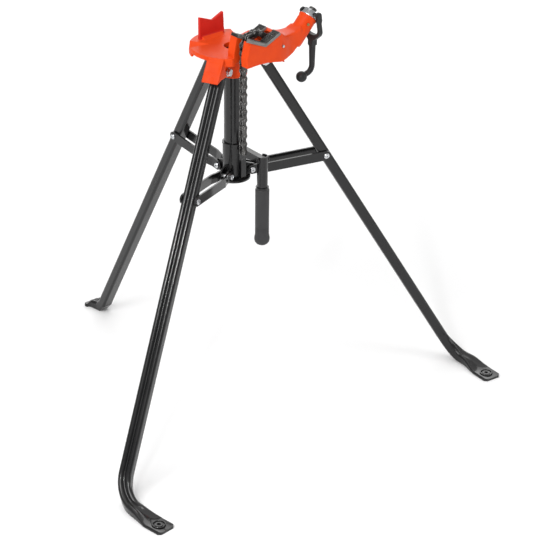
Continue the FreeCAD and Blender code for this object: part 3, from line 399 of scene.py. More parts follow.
class FinishShop:
    """Builds the shared shader groups once and one material for each finish."""

    pit_reach = (0.0, 0.45)
    pit_share = 0.35
    patch_reach = (0.32, 0.68)
    edge_reach = (0.995, 0.90)
    rubbed_reach = (0.42, 0.62)
    rubbed_per_patch = 5.0
    level_reach = (0.35, 1.0)
    speck_scale = 55.0
    dust_colour = (0.55, 0.53, 0.50)
    dust_dulls = 0.5
    grains_per_cell = 2.2
    coat_roughness = 0.11
    edge_samples = 6

    def __init__(self) -> None:
        """Make the shared groups."""
        self.grain = self._grain_group()
        self.edges = self._edge_group()
        self.dust = self._dust_group()
        self.materials: dict[str, bpy.types.Material] = {}

    @staticmethod
    def _new_group(name: str, inputs: tuple[str, ...], outputs: tuple[str, ...]) -> tuple:
        """Start a shader group that takes a place in its Vector socket.

        Args:
            name: the group's name.
            inputs: names of its other sockets, which take a value each.
            outputs: names of the values that it gives.

        Returns:
            The group with its input and output nodes.
        """
        group = bpy.data.node_groups.new(name, "ShaderNodeTree")
        group.interface.new_socket("Vector", in_out="INPUT", socket_type="NodeSocketVector")
        for socket in inputs:
            kind = "NodeSocketVector" if socket.endswith("Normal") else "NodeSocketFloat"
            group.interface.new_socket(socket, in_out="INPUT", socket_type=kind)
        for socket in outputs:
            group.interface.new_socket(socket, in_out="OUTPUT", socket_type="NodeSocketFloat")
        return group, group.nodes.new("NodeGroupInput"), group.nodes.new("NodeGroupOutput")

    @staticmethod
    def _noise(tree: bpy.types.NodeTree, place: bpy.types.NodeSocket, detail: float,
               roughness: float) -> bpy.types.Node:
        """Add a noise texture.

        Args:
            tree: where the node goes.
            place: the place that the noise is read at.
            detail: how many finer layers it has.
            roughness: how strong the finer layers are.

        Returns:
            The node.
        """
        noise = tree.nodes.new("ShaderNodeTexNoise")
        noise.inputs["Detail"].default_value = detail
        noise.inputs["Roughness"].default_value = roughness
        tree.links.new(place, noise.inputs["Vector"])
        return noise

    @staticmethod
    def _spread(tree: bpy.types.NodeTree, value: bpy.types.NodeSocket,
                reach: tuple[float, float]) -> bpy.types.NodeSocket:
        """Spread a stretch of values over 0 to 1.

        Args:
            tree: where the node goes.
            value: what is spread.
            reach: the values that become 0 and 1.

        Returns:
            The spread value.
        """
        spread = tree.nodes.new("ShaderNodeMapRange")
        spread.inputs["From Min"].default_value, spread.inputs["From Max"].default_value = reach
        tree.links.new(value, spread.inputs["Value"])
        return spread.outputs["Result"]

    @staticmethod
    def _times(tree: bpy.types.NodeTree, first: bpy.types.NodeSocket, second: bpy.types.NodeSocket,
               clamp: bool = False) -> bpy.types.NodeSocket:
        """Multiply two values.

        Args:
            tree: where the node goes.
            first: one value.
            second: the other value.
            clamp: whether the product stays within 0 to 1.

        Returns:
            The product.
        """
        product = tree.nodes.new("ShaderNodeMath")
        product.operation = "MULTIPLY"
        product.use_clamp = clamp
        tree.links.new(first, product.inputs[0])
        tree.links.new(second, product.inputs[1])
        return product.outputs[0]

    @staticmethod
    def _add_share(tree: bpy.types.NodeTree, value: bpy.types.NodeSocket, share: float,
                   base: bpy.types.NodeSocket) -> bpy.types.NodeSocket:
        """Add a share of one value to another.

        Args:
            tree: where the node goes.
            value: the value that is added in part.
            share: which part of it.
            base: what it is added to.

        Returns:
            The sum.
        """
        total = tree.nodes.new("ShaderNodeMath")
        total.operation = "MULTIPLY_ADD"
        total.inputs[1].default_value = share
        tree.links.new(value, total.inputs[0])
        tree.links.new(base, total.inputs[2])
        return total.outputs[0]

    def _grain_group(self) -> bpy.types.NodeTree:
        """Cast, sprayed or moulded grain: a height for bump and slow patches for colour and gloss."""
        group, source, sink = self._new_group(
            "surface_grain", ("Grain Scale", "Patch Scale"), ("Height", "Patches"))
        links, place = group.links, source.outputs["Vector"]
        fine = self._noise(group, place, detail=3.0, roughness=0.6)
        pits = group.nodes.new("ShaderNodeTexVoronoi")
        links.new(place, pits.inputs["Vector"])
        for texture in (fine, pits):
            links.new(source.outputs["Grain Scale"], texture.inputs["Scale"])
        rounded = self._spread(group, pits.outputs["Distance"], self.pit_reach)
        height = self._add_share(group, rounded, self.pit_share, fine.outputs["Fac"])
        links.new(height, sink.inputs["Height"])
        slow = self._noise(group, place, detail=4.0, roughness=0.55)
        links.new(source.outputs["Patch Scale"], slow.inputs["Scale"])
        links.new(self._spread(group, slow.outputs["Fac"], self.patch_reach), sink.inputs["Patches"])
        return group

    def _edge_group(self) -> bpy.types.NodeTree:
        """Where edges are rubbed: the angle between a rounded and the true normal, broken up by noise."""
        group, source, sink = self._new_group(
            "edge_wear", ("Rounded Normal", "Amount", "Breakup Scale"), ("Worn",))
        links = group.links
        geometry = group.nodes.new("ShaderNodeNewGeometry")
        turn = group.nodes.new("ShaderNodeVectorMath")
        turn.operation = "DOT_PRODUCT"
        links.new(source.outputs["Rounded Normal"], turn.inputs[0])
        links.new(geometry.outputs["Normal"], turn.inputs[1])
        edge = self._spread(group, turn.outputs["Value"], self.edge_reach)
        breakup = self._noise(group, source.outputs["Vector"], detail=5.0, roughness=0.5)
        links.new(source.outputs["Breakup Scale"], breakup.inputs["Scale"])
        rough = self._spread(group, breakup.outputs["Fac"], self.rubbed_reach)
        worn = self._times(group, self._times(group, edge, rough), source.outputs["Amount"], clamp=True)
        links.new(worn, sink.inputs["Worn"])
        return group

    def _dust_group(self) -> bpy.types.NodeTree:
        """Fine dust that settles on faces that look up."""
        group, source, sink = self._new_group("settled_dust", ("Amount",), ("Dust",))
        geometry = group.nodes.new("ShaderNodeNewGeometry")
        split = group.nodes.new("ShaderNodeSeparateXYZ")
        group.links.new(geometry.outputs["Normal"], split.inputs[0])
        level = self._spread(group, split.outputs["Z"], self.level_reach)
        specks = self._noise(group, source.outputs["Vector"], detail=6.0, roughness=0.7)
        specks.inputs["Scale"].default_value = self.speck_scale
        settled = self._times(group, level, specks.outputs["Fac"])
        group.links.new(self._times(group, settled, source.outputs["Amount"], clamp=True), sink.inputs["Dust"])
        return group

    def material(self, finish: Finish) -> bpy.types.Material:
        """Give the material of a finish, building it on first use.

        Args:
            finish: the finish that is wanted.

        Returns:
            Its material.
        """
        if finish.name not in self.materials:
            self.materials[finish.name] = self._build(finish)
        return self.materials[finish.name]

    def _build(self, finish: Finish) -> bpy.types.Material:
        """Wire one finish from the shared groups.

        Args:
            finish: the finish to build.

        Returns:
            The new material.
        """
        material = bpy.data.materials.new(finish.name)
        material.use_nodes = True
        tree = material.node_tree
        nodes, links = tree.nodes, tree.links
        shader = nodes["Principled BSDF"]
        shader.inputs["Metallic"].default_value = finish.metallic
        shader.inputs["Coat Weight"].default_value = finish.coat
        shader.inputs["Coat Roughness"].default_value = self.coat_roughness
        shader.inputs["Specular IOR Level"].default_value = finish.specular
        place = nodes.new("ShaderNodeTexCoord").outputs["Object"]
        scales = {"Grain Scale": 1.0 / finish.grain_size / self.grains_per_cell,
                  "Patch Scale": 1.0 / finish.patch_size}
        grain = self._use(tree, self.grain, place, scales)
        rounded = nodes.new("ShaderNodeBevel")
        rounded.samples = self.edge_samples
        rounded.inputs["Radius"].default_value = finish.edge_round
        wear = {"Amount": finish.wear, "Breakup Scale": self.rubbed_per_patch / finish.patch_size}
        worn = self._use(tree, self.edges, place, wear)
        links.new(rounded.outputs["Normal"], worn.inputs["Rounded Normal"])
        dust = self._use(tree, self.dust, place, {"Amount": finish.dust})
        tone = self._mix(tree, grain.outputs["Patches"], finish.shade, finish.colour)
        rubbed = self._mix(tree, worn.outputs["Worn"], tone, finish.wear_colour)
        dusty = self._mix(tree, dust.outputs["Dust"], rubbed, self.dust_colour)
        links.new(dusty, shader.inputs["Base Color"])
        gloss = nodes.new("ShaderNodeMapRange")
        gloss.inputs["To Min"].default_value = finish.roughness - finish.roughness_swing
        gloss.inputs["To Max"].default_value = finish.roughness + finish.roughness_swing
        links.new(grain.outputs["Patches"], gloss.inputs["Value"])
        dull = self._add_share(tree, dust.outputs["Dust"], self.dust_dulls, gloss.outputs["Result"])
        links.new(dull, shader.inputs["Roughness"])
        bump = nodes.new("ShaderNodeBump")
        bump.inputs["Distance"].default_value = finish.grain_height
        links.new(grain.outputs["Height"], bump.inputs["Height"])
        links.new(rounded.outputs["Normal"], bump.inputs["Normal"])
        links.new(bump.outputs["Normal"], shader.inputs["Normal"])
        return material

    @staticmethod
    def _use(tree: bpy.types.NodeTree, group: bpy.types.NodeTree, place: bpy.types.NodeSocket,
             values: dict[str, float]) -> bpy.types.Node:
        """Place a shared group in a material.

        Args:
            tree: the material's own nodes.
            group: the shared group.
            place: the place that its textures are read at.
            values: socket name to value.

        Returns:
            The group's node.
        """
        node = tree.nodes.new("ShaderNodeGroup")
        node.node_tree = group
        tree.links.new(place, node.inputs["Vector"])
        for socket, value in values.items():
            node.inputs[socket].default_value = value
        return node

    @staticmethod
    def _mix(tree: bpy.types.NodeTree, factor: bpy.types.NodeSocket, first: object,
             second: object) -> bpy.types.NodeSocket:
        """Blend two colours by a mask.

        Args:
            tree: where the node goes.
            factor: the mask: 0 gives the first colour, 1 the second.
            first: a colour triple or a colour socket.
            second: a colour triple or a colour socket.

        Returns:
            The blended colour.
        """
        mix = tree.nodes.new("ShaderNodeMix")
        mix.data_type = "RGBA"
        tree.links.new(factor, mix.inputs["Factor"])
        for socket, value in ((mix.inputs[6], first), (mix.inputs[7], second)):
            if isinstance(value, tuple):
                socket.default_value = (*value, 1.0)
            else:
                tree.links.new(value, socket)
        return mix.outputs[2]


# ---------------------------------------------------------------- sub-assemblies
class SubAssembly:
    """Pieces that are dressed together."""

    title = "sub-assembly"

    def __init__(self, shop: FinishShop) -> None:
        """Keep the shop that makes the finishes."""
        self.shop = shop

    def dress(self, piece: bpy.types.Object, finish: Finish) -> None:
        """Give a piece its finish and log which finish it has.

        Args:
            piece: a new piece or a CAD node's object.
            finish: what its surface is.
        """
        piece.data.materials.clear()
        piece.data.materials.append(self.shop.material(finish))
        log.info("%s: %s in %s on %s", self.title, piece.name, finish.name, finish.base.value)

    def keep(self, node: str, finish: Finish) -> None:
        """Dress a CAD node whose own mesh is right.

        Args:
            node: the CAD node.
            finish: what its surface is.
        """
        self.dress(frame["nodes"][node], finish)

    def machined(self, node: str, finish: Finish, width: float) -> bpy.types.Object:
        """Stand a bevelled copy in for a cut or turned CAD node.

        Args:
            node: the CAD node.
            finish: what its surface is.
            width: how far the bevels reach from the edges, in metres.

        Returns:
            The bevelled copy.
        """
        piece = merged_copy(node, node + "_finished")
        break_edges(piece, width)
        self.dress(piece, finish)
        return piece


@dataclass(frozen=True)
class CastingSizes:
    """How the mould leaves the head: millimetres about the post's foot, degrees about the post or the deck."""

    voxel: float = 1.1 * MM
    smoothing: int = 4
    kept_faces: float = 0.20
    deck_centre: tuple[float, float] = (2.0, 10.0)
    deck_top: float = 856.0
    rim_under: float = 846.0
    rim_under_front: float = 838.0
    rim_band: tuple[float, float] = (79.0, 97.0)
    rim_depth: float = 16.0
    rim_step: float = 3.0
    rim_sectors: tuple[tuple[float, float], ...] = (
        (160.0, 195.3), (104.7, 124.0), (56.0, 77.7), (343.6, 380.0))
    lip_sectors: tuple[tuple[float, float], ...] = ((222.3, 285.0), (123.0, 161.0), (19.0, 57.0))
    clevises: tuple[tuple[float, float, float, float], ...] = (
        (203.65, 85.8, 118.0, 808.0), (-23.65, 89.3, 113.0, 811.5))
    clevis_half: float = 19.5
    clevis_skin: float = 5.0
    clevis_cut_below: float = 18.0
    clevis_cut_ahead: float = 22.0
    clevis_cut_above: float = 14.0
    clevis_cut_beside: float = 2.5
    front_top: tuple[float, float] = (0.5, 0.7)
    front_tip: tuple[float, float] = (0.6, 0.4)
    back_tip: float = 1.6
    back_top: tuple[float, float] = (1.5, 4.5)
    arm_curve: tuple[tuple[float, float], ...] = (
        (-53.0, 845.4), (-44.0, 845.6), (-16.0, 846.6), (8.0, 845.0), (26.6, 841.7), (46.7, 837.6),
        (58.0, 836.2), (69.6, 836.8), (81.0, 838.9), (92.2, 842.9), (101.0, 849.8), (106.3, 854.9))
    arm_cut_below: float = 26.0
    arm_cut_past: float = 2.0
    boss_root: tuple[float, float] = (117.8, 843.9)
    arm_outer_strip: tuple[float, float] = (-114.0, -83.0)
    arm_full_width: tuple[float, float] = (-114.0, -35.0)
    neck_from: int = 4
    neck_overlap: int = 3
    neck_blend: tuple[float, float, float, float] = (48.0, 64.0, 112.0, 126.0)
    neck_rounds: int = 120
    tunnel: tuple[float, float, float] = (14.5, 862.0, 888.0)
    arm_middle: float = -73.5
    # where the painted shade on the pipe rest begins: faces behind this y and above this z, in millimetres
    rest_shade_from: tuple[float, float] = (68.3, 857.0)


class HeadCasting(SubAssembly):
    """The red cast head: deck, leg clevises, pipe rest, bending grooves and vise arm."""

    title = "head"
    sizes = CastingSizes()

    def build(self) -> None:
        """Cast and paint the head."""
        piece = merged_copy("head_casting", "head_cast_body")
        for cutter in self._rim_cutters() + self._clevis_cutters() + self._arm_cutters():
            carve(piece, cutter)
        for front in self._clevis_fronts():
            add_to(piece, front)
        even_skin(piece, self.sizes.voxel, self.sizes.smoothing)
        self._blend_neck(piece)
        thin(piece, self.sizes.kept_faces)
        self.dress(piece, HEAD_RED)
        # Painted shade: the pipe rest's faces get a darker copy of the head red.
        self._paint_rest_shade(piece)

    def _paint_rest_shade(self, piece: bpy.types.Object) -> None:
        """Paint shade on the pipe rest: its faces get a darker, more crimson copy of the head red.

        Args:
            piece: the finished casting.
        """
        piece.data.materials.append(self.shop.material(REST_PAINTED_SHADE))
        behind, above = self.sizes.rest_shade_from
        for face in piece.data.polygons:
            # faces behind and above these limits take the painted shade
            if (face.center.y - POST.y) / MM > behind and face.center.z / MM > above:
                face.material_index = 1

    def _blend_neck(self, piece: bpy.types.Object) -> None:
        """Let the arm's cheeks, its neck and the screw boss flow into each other, but not the tunnel inside.

        Args:
            piece: the casting, already in small even cells.
        """
        size = self.sizes
        half, floor, roof = size.tunnel
        zone = piece.vertex_groups.new(name="neck")
        for vertex in piece.data.vertices:
            x, y = (vertex.co.x - POST.x) / MM, (vertex.co.y - POST.y) / MM
            share = smooth_share(x, *size.neck_blend[:2]) * (1.0 - smooth_share(x, *size.neck_blend[2:]))
            inside = abs(y - size.arm_middle) < half and floor < vertex.co.z / MM < roof
            if share > 0.0 and not inside and y < size.arm_full_width[1]:
                zone.add([vertex.index], share, "REPLACE")
        finish_modifier(piece, "SMOOTH", factor=SMOOTH_STEP, iterations=size.neck_rounds,
                        vertex_group=zone.name)
        piece.vertex_groups.clear()

    def _rim_cutters(self) -> list[bpy.types.Object]:
        """Ring sectors below the deck's rim, between clevises, groove lips and arm."""
        size = self.sizes
        cutters = []
        heights = [(sector, size.rim_under) for sector in size.rim_sectors]
        heights += [(sector, size.rim_under_front) for sector in size.lip_sectors]
        for (start, stop), top in heights:
            steps = max(3, int((stop - start) / size.rim_step))
            turns = [math.radians(start + (stop - start) * i / steps) for i in range(steps + 1)]
            inner, outer = size.rim_band
            rim = [(outer, turn) for turn in turns] + [(inner, turn) for turn in reversed(turns)]
            x, y = size.deck_centre
            floor = size.rim_under_front - size.rim_depth
            corners = [spot(x + r * math.cos(turn), y + r * math.sin(turn), floor) for r, turn in rim]
            rise = (top - size.rim_under_front + size.rim_depth) * MM
            cutters.append(block("rim_cutter", corners, Vector((0.0, 0.0, rise))))
        return cutters

    def _radial_block(self, name: str, azimuth: float, outline: list[tuple[float, float]],
                      half: float) -> bpy.types.Object:
        """Block from an outline in a leg's own radial plane.

        Args:
            name: the new object's name.
            azimuth: the plane's direction about the post, in degrees.
            outline: corners as distance from the post and height, in millimetres.
            half: half of the block's width, in millimetres.

        Returns:
            The block.
        """
        turn = math.radians(azimuth)
        across = Vector((-math.sin(turn), math.cos(turn), 0.0)) * MM
        corners = [spot(r * math.cos(turn), r * math.sin(turn), z) - across * half for r, z in outline]
        return block(name, corners, across * (2.0 * half))

    def _clevis_cutters(self) -> list[bpy.types.Object]:
        """Blocks in front of the front clevises' sloping faces."""
        size = self.sizes
        cutters = []
        for azimuth, rim, tip_r, tip_z in size.clevises:
            low, high = tip_z - size.clevis_cut_below, size.deck_top + size.clevis_cut_above
            ahead = tip_r + size.clevis_cut_ahead
            outline = [(rim, size.deck_top), (tip_r, tip_z), (tip_r, low),
                       (ahead, low), (ahead, high), (rim, high)]
            half = size.clevis_half + size.clevis_cut_beside
            cutters.append(self._radial_block("clevis_cutter", azimuth, outline, half))
        return cutters

    def _clevis_fronts(self) -> list[bpy.types.Object]:
        """Walls that close the clevises behind their sloping faces."""
        size = self.sizes
        fronts = []
        for azimuth, rim, tip_r, tip_z in size.clevises:
            outline = [(rim - size.front_top[0], size.deck_top - size.front_top[1]),
                       (tip_r - size.front_tip[0], tip_z + size.front_tip[1]),
                       (tip_r - size.clevis_skin - size.front_tip[0], tip_z + size.back_tip),
                       (rim - size.clevis_skin - size.back_top[0], size.deck_top - size.back_top[1])]
            fronts.append(self._radial_block("clevis_front", azimuth, outline, size.clevis_half))
        return fronts

    def _arm_cutters(self) -> list[bpy.types.Object]:
        """Blocks under the arm's curved lower edge, in front of the deck and under the neck."""
        size = self.sizes
        floor = size.rim_under_front - size.arm_cut_below
        outer = list(size.arm_curve[:size.neck_from + size.neck_overlap])
        past_boss = (size.boss_root[0] + size.arm_cut_past, floor)
        neck = list(size.arm_curve[size.neck_from:]) + [size.boss_root, past_boss]
        outer = [(outer[0][0], floor)] + outer + [(outer[-1][0], floor)]
        neck = [(size.arm_curve[size.neck_from][0], floor)] + neck
        cutters = []
        for outline, (low, high) in ((outer, size.arm_outer_strip), (neck, size.arm_full_width)):
            corners = [spot(x, low, z) for x, z in outline]
            cutters.append(block("arm_cutter", corners, Vector((0.0, (high - low) * MM, 0.0))))
        return cutters


@dataclass(frozen=True)
class ViseSizes:
    """Edge breaks and cells in metres, and the handle's yoke in millimetres about the post's foot."""

    link_break: float = 0.30 * MM
    tooth_break: float = 0.18 * MM
    upward: float = 0.3
    forging_voxel: float = 0.9 * MM
    forging_smoothing: int = 5
    forging_kept: float = 0.35
    middle_y: float = -73.5
    prong_inner: float = 23.4
    yoke_inner: float = 21.8
    prong_thinning: float = 0.70
    pin_end: float = 12.0
    neck: tuple[float, float] = (846.0, 866.0)
    waist: tuple[float, float, float, float] = (852.0, 868.0, 893.0, 903.0)
    waist_share: float = 0.70
    eye: tuple[float, float] = (156.4, 913.3)
    prong_lean: float = 0.172


class ChainVise(SubAssembly):
    """Toothed jaws, their screws and pins, the chain and its drawing screw."""

    title = "vise"
    sizes = ViseSizes()

    def build(self) -> None:
        """Dress the fixed parts, then the chain and the drive."""
        for node in ("vee_jaw_near", "vee_jaw_far"):
            self.jaw(node)
        self.keep("jaw_screws", CHAIN_STEEL)
        self.keep("guide_pin", BRIGHT_STEEL)
        self.keep("key_screw", OLIVE_ZINC)
        self.machined("screw_washer", ZINC, self.sizes.link_break)
        self.machined("draw_nut", ZINC, self.sizes.link_break)
        self.trunnions()
        self.keep("draw_screw", CHAIN_STEEL)
        self.chain()
        self.handle()

    def jaw(self, node: str) -> None:
        """Hardened vee: bright ground sides, blackened teeth.

        Args:
            node: the jaw's CAD node.
        """
        piece = self.machined(node, JAW_STEEL, self.sizes.tooth_break)
        piece.data.materials.append(self.shop.material(JAW_TEETH))
        for face in piece.data.polygons:
            if face.normal.z > self.sizes.upward:
                face.material_index = 1

    def chain(self) -> None:
        """Links with broken edges, each on its own body."""
        links = sorted(node for node in frame["nodes"] if node.startswith("chain_"))
        for node in links:
            self.machined(node, CHAIN_STEEL, self.sizes.link_break)

    def _drawn_in(self, offset: float) -> float:
        """Where the yoke's slimmer prongs put a point.

        Args:
            offset: how far the point lies from the arm's middle, in millimetres along Y.

        Returns:
            Its new offset.
        """
        size = self.sizes
        reach = abs(offset)
        if reach <= size.prong_inner:
            slim = reach * size.yoke_inner / size.prong_inner
        else:
            slim = size.yoke_inner + (reach - size.prong_inner) * size.prong_thinning
        return math.copysign(slim, offset)

    def trunnions(self) -> None:
        """Stub pins, with their heads drawn in against the slimmer prongs."""
        piece = merged_copy("nut_trunnions", "nut_trunnions_finished")
        for vertex in piece.data.vertices:
            offset = (vertex.co.y - POST.y) / MM - self.sizes.middle_y
            if abs(offset) > self.sizes.pin_end:
                vertex.co.y = POST.y + (self.sizes.middle_y + self._drawn_in(offset)) * MM
        break_edges(piece, self.sizes.link_break)
        self.dress(piece, FORGED_BLACK)

    def handle(self) -> None:
        """Drop-forged yoke and shank with every edge rounded and waisted prongs."""
        size = self.sizes
        piece = merged_copy("draw_handle", "draw_handle_forged")
        soften(piece, size.forging_voxel, size.forging_smoothing, size.forging_kept)
        for vertex in piece.data.vertices:
            x = (vertex.co.x - POST.x) / MM
            z = vertex.co.z / MM
            above = smooth_share(z, *size.neck)
            if above == 0.0:
                continue
            offset = (vertex.co.y - POST.y) / MM - size.middle_y
            offset += (self._drawn_in(offset) - offset) * above
            waisted = smooth_share(z, *size.waist[:2]) * (1.0 - smooth_share(z, *size.waist[2:]))
            middle = size.eye[0] + (size.eye[1] - z) * size.prong_lean
            x = middle + (x - middle) * (1.0 - (1.0 - size.waist_share) * waisted)
            vertex.co.x = POST.x + x * MM
            vertex.co.y = POST.y + (size.middle_y + offset) * MM
        self.dress(piece, FORGED_BLACK)


@dataclass(frozen=True)
class WeldSizes:
    """Weld runs that hold the lugs and the bent bar to the sleeve: millimetres, and degrees about the post."""

    lug_azimuths: tuple[float, ...] = (90.0, -23.65, 203.65)
    lug_half: float = 10.0
    lug_heights: tuple[float, float] = (551.5, 579.0)
    bar_azimuth: float = -90.0
    bar_half: float = 7.0
    bar_heights: tuple[float, float] = (555.0, 622.0)
    sleeve_radius: float = 24.15
    bead: float = 1.9
    stride: float = 1.7
    voxel: float = 0.45 * MM
    smoothing: int = 2
    kept_faces: float = 0.5


class PostGroup(SubAssembly):
    """Centre post with its end plate, and the sleeve that slides on it."""

    title = "post"
    welds = WeldSizes()

    def build(self) -> None:
        """Dress the post, plate, sleeve and bracket."""
        for node in ("centre_post", "post_end_plate", "slide_sleeve", "lever_bracket"):
            self.keep(node, STAND_BLACK)
        for node in ("brace_bolts", "brace_nuts"):
            self.keep(node, ZINC)
        for node in ("lever_bolt", "lever_nut"):
            self.keep(node, FORGED_BLACK)
        self.weld_runs()

    def weld_runs(self) -> None:
        """Rippled weld beads down both sides of each lug and of the bent bar."""
        size = self.welds
        runs = [(azimuth, side * size.lug_half, size.lug_heights) for azimuth in size.lug_azimuths
                for side in (-1.0, 1.0)]
        runs += [(size.bar_azimuth, side * size.bar_half, size.bar_heights) for side in (-1.0, 1.0)]
        piece = None
        for azimuth, offset, (low, high) in runs:
            turn = math.radians(azimuth) + math.asin(offset / size.sleeve_radius)
            for i in range(int((high - low) / size.stride)):
                deselect()
                place = spot(size.sleeve_radius * math.cos(turn), size.sleeve_radius * math.sin(turn),
                             low + i * size.stride)
                bpy.ops.mesh.primitive_ico_sphere_add(subdivisions=2, radius=size.bead * MM, location=place)
                drop = bpy.context.object
                if piece is None:
                    piece = drop
                else:
                    add_to(piece, drop)
        piece.name = "sleeve_welds"
        settle(piece)
        soften(piece, size.voxel, size.smoothing, size.kept_faces)
        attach(piece, frame["nodes"]["slide_sleeve"]["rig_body"])
        self.dress(piece, STAND_BLACK)


@dataclass(frozen=True)
class GripSizes:
    """Moulded grip, as radius and height in millimetres, from the end's middle round to the bore."""

    centre_y: float = -98.0
    steps: int = 64
    end: tuple[tuple[float, float], ...] = (
        (0.0, 412.6), (5.0, 413.0), (9.6, 414.4), (13.4, 417.0), (16.0, 420.8), (17.2, 425.4), (17.3, 429.6),
        (16.7, 433.4), (15.9, 436.6), (15.5, 440.5))
    rings: tuple[float, ...] = (443.0, 446.5, 450.0, 453.5, 457.0)
    ring_width: float = 1.1
    ring_depth: float = 0.5
    shaft: float = 15.55
    mouth: tuple[tuple[float, float], ...] = (
        (15.65, 541.0), (15.75, 545.0), (15.5, 548.3), (14.9, 549.4), (12.0, 549.5), (12.0, 427.0),
        (0.0, 427.0))


class FoldingLever(SubAssembly):
    """Lever tube, stop ring and rubber grip."""

    title = "lever"
    sizes = GripSizes()

    def build(self) -> None:
        """Dress the tube and ring, and mould the grip."""
        self.keep("lever_tube", STAND_BLACK)
        self.keep("lever_collar", STAND_BLACK)
        self.grip()

    def grip(self) -> None:
        """Rubber grip with a domed, flared end and fine rings above it."""
        size = self.sizes
        profile = list(size.end)
        for height in size.rings:
            profile += [(size.shaft, height - size.ring_width), (size.shaft - size.ring_depth, height),
                        (size.shaft, height + size.ring_width)]
        profile += list(size.mouth)
        piece = turned("lever_grip_moulded", [spot(r, size.centre_y, z) for r, z in profile],
                       spot(0.0, size.centre_y, 0.0), size.steps)
        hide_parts("lever_grip")
        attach(piece, frame["nodes"]["lever_grip"]["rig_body"])
        self.dress(piece, GRIP_RUBBER)


@dataclass(frozen=True)
class PadRing:
    """Pressed ring round a foot's hole: its leg, middle and radius, in millimetres about the post's foot."""

    side: str
    x: float
    y: float
    radius: float


class LegSet(SubAssembly):
    """Three rolled legs, their braces and pivots."""

    title = "legs"
    pad_top = 7.0
    ring_section = 1.7
    ring_squash = 0.75
    rings = (PadRing("left", -494.9, -342.4, 13.5), PadRing("right", 494.9, -342.4, 13.5),
             PadRing("rear", 0.0, 541.2, 11.3))

    def pad_ring(self, ring: PadRing) -> None:
        """Raise the pressed ring of one foot.

        Args:
            ring: the foot's ring.
        """
        deselect()
        bpy.ops.mesh.primitive_torus_add(major_segments=64, minor_segments=16, major_radius=ring.radius * MM,
                                         minor_radius=self.ring_section * MM,
                                         location=spot(ring.x, ring.y, self.pad_top))
        piece = bpy.context.object
        piece.name = "pad_ring_" + ring.side
        bpy.ops.transform.resize(value=(1.0, 1.0, self.ring_squash))
        settle(piece)
        bpy.ops.object.shade_smooth()
        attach(piece, frame["nodes"]["leg_" + ring.side]["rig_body"])
        self.dress(piece, STAND_BLACK)

    def build(self) -> None:
        """Dress legs, braces and fasteners."""
        for ring in self.rings:
            self.pad_ring(ring)
        for side in ("left", "right", "rear"):
            self.keep("leg_" + side, STAND_BLACK)
            self.keep("brace_bars_" + side, STAND_BLACK)
            self.keep("brace_screws_" + side, ZINC)
        for node in ("leg_pivot_bolts", "leg_pivot_nuts", "leg_pivot_washers"):
            self.keep(node, ZINC)


# ---------------------------------------------------------------- studio
@dataclass(frozen=True)
class CameraSetup:
    """Where the camera stands, measured from the post's foot, and how it looks."""

    place: tuple[float, float, float] = (-2.8315, -3.3493, 2.5625)
    yaw: float = 0.8500
    pitch: float = 0.4745
    roll: float = 0.0089
    lens: float = 144.243
    sensor: float = 36.0


@dataclass(frozen=True)
class Softbox:
    """One large soft light."""

    name: str
    place: tuple[float, float, float]
    aim: tuple[float, float, float]
    size: float
    power: float


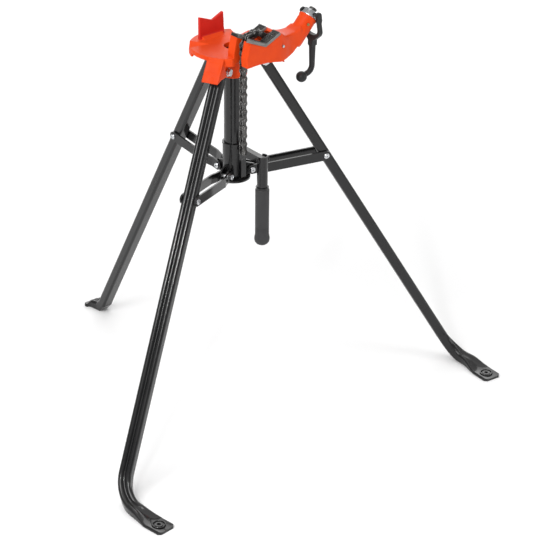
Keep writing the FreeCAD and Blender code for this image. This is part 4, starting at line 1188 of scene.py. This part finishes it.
class Studio:
    """Pale floor, soft light and the camera."""

    camera = CameraSetup()
    overhead_spread = math.radians(70.0)
    overhead_power = 0.70
    world_strength = 0.42
    floor_size = 60.0
    floor_grey = 0.93
    floor_roughness = 0.85
    floor_specular = 0.15
    boxes = (
        Softbox("key_softbox", (-3.2, -0.9, 3.4), (0.0, 0.0, 0.5), 2.4, 106.0),
        Softbox("side_softbox", (2.4, -3.2, 1.6), (0.0, 0.0, 0.5), 1.2, 28.0),
        Softbox("back_softbox", (2.6, 2.8, 2.2), (0.0, 0.0, 0.7), 3.4, 60.0),
        Softbox("sparkle_softbox", (-2.6, -2.0, 2.3), (0.0, 0.0, 0.4), 0.24, 26.0),
    )

    def build(self) -> None:
        """Set up floor, lights and camera."""
        self._floor()
        self._lights()
        self._camera()
        bpy.context.scene.view_settings.view_transform = "Standard"

    def _floor(self) -> None:
        """Wide pale floor, almost white."""
        deselect()
        bpy.ops.mesh.primitive_plane_add(size=self.floor_size, location=(0.0, 0.0, 0.0))
        floor = bpy.context.object
        floor.name = "studio_floor"
        material = bpy.data.materials.new("pale_floor")
        material.use_nodes = True
        shader = material.node_tree.nodes["Principled BSDF"]
        shader.inputs["Base Color"].default_value = (self.floor_grey, self.floor_grey, self.floor_grey, 1.0)
        shader.inputs["Roughness"].default_value = self.floor_roughness
        shader.inputs["Specular IOR Level"].default_value = self.floor_specular
        floor.data.materials.append(material)

    def _lights(self) -> None:
        """Even white surroundings, four softboxes and a wide overhead light."""
        world = bpy.data.worlds.new("studio_world")
        world.use_nodes = True
        background = world.node_tree.nodes["Background"]
        background.inputs["Color"].default_value = (1.0, 1.0, 1.0, 1.0)
        background.inputs["Strength"].default_value = self.world_strength
        bpy.context.scene.world = world
        for box in self.boxes:
            light = bpy.data.lights.new(box.name, "AREA")
            light.size = box.size
            light.energy = box.power
            lamp = bpy.data.objects.new(box.name, light)
            lamp.location = POST + Vector(box.place)
            aim = POST + Vector(box.aim) - lamp.location
            lamp.rotation_euler = aim.to_track_quat("-Z", "Y").to_euler()
            bpy.context.scene.collection.objects.link(lamp)
        overhead = bpy.data.lights.new("overhead_light", "SUN")
        overhead.angle = self.overhead_spread
        overhead.energy = self.overhead_power
        bpy.context.scene.collection.objects.link(bpy.data.objects.new("overhead_light", overhead))

    def _camera(self) -> None:
        """Place the camera from its yaw, pitch and roll."""
        setup = self.camera
        data = bpy.data.cameras.new("studio_camera")
        data.lens = setup.lens
        data.sensor_width = setup.sensor
        camera = bpy.data.objects.new("studio_camera", data)
        level = math.cos(setup.pitch)
        forward = Vector((math.cos(setup.yaw) * level, math.sin(setup.yaw) * level, -math.sin(setup.pitch)))
        right = Vector((math.sin(setup.yaw), -math.cos(setup.yaw), 0.0))
        up = right.cross(forward)
        rolled_right = right * math.cos(setup.roll) + up * math.sin(setup.roll)
        rolled_up = up * math.cos(setup.roll) - right * math.sin(setup.roll)
        turn = Matrix((rolled_right, rolled_up, -forward)).transposed()
        camera.matrix_world = Matrix.Translation(POST + Vector(setup.place)) @ turn.to_4x4()
        bpy.context.scene.collection.objects.link(camera)
        bpy.context.scene.camera = camera


def main() -> None:
    """Build the studio, then each sub-assembly in the order in which it is put together."""
    logging.basicConfig(level=logging.INFO, format="%(name)s %(message)s")
    Studio().build()
    shop = FinishShop()
    for assembly in (HeadCasting, PostGroup, LegSet, FoldingLever, ChainVise):
        assembly(shop).build()
    deselect()


if __name__ == "__main__":
    main()
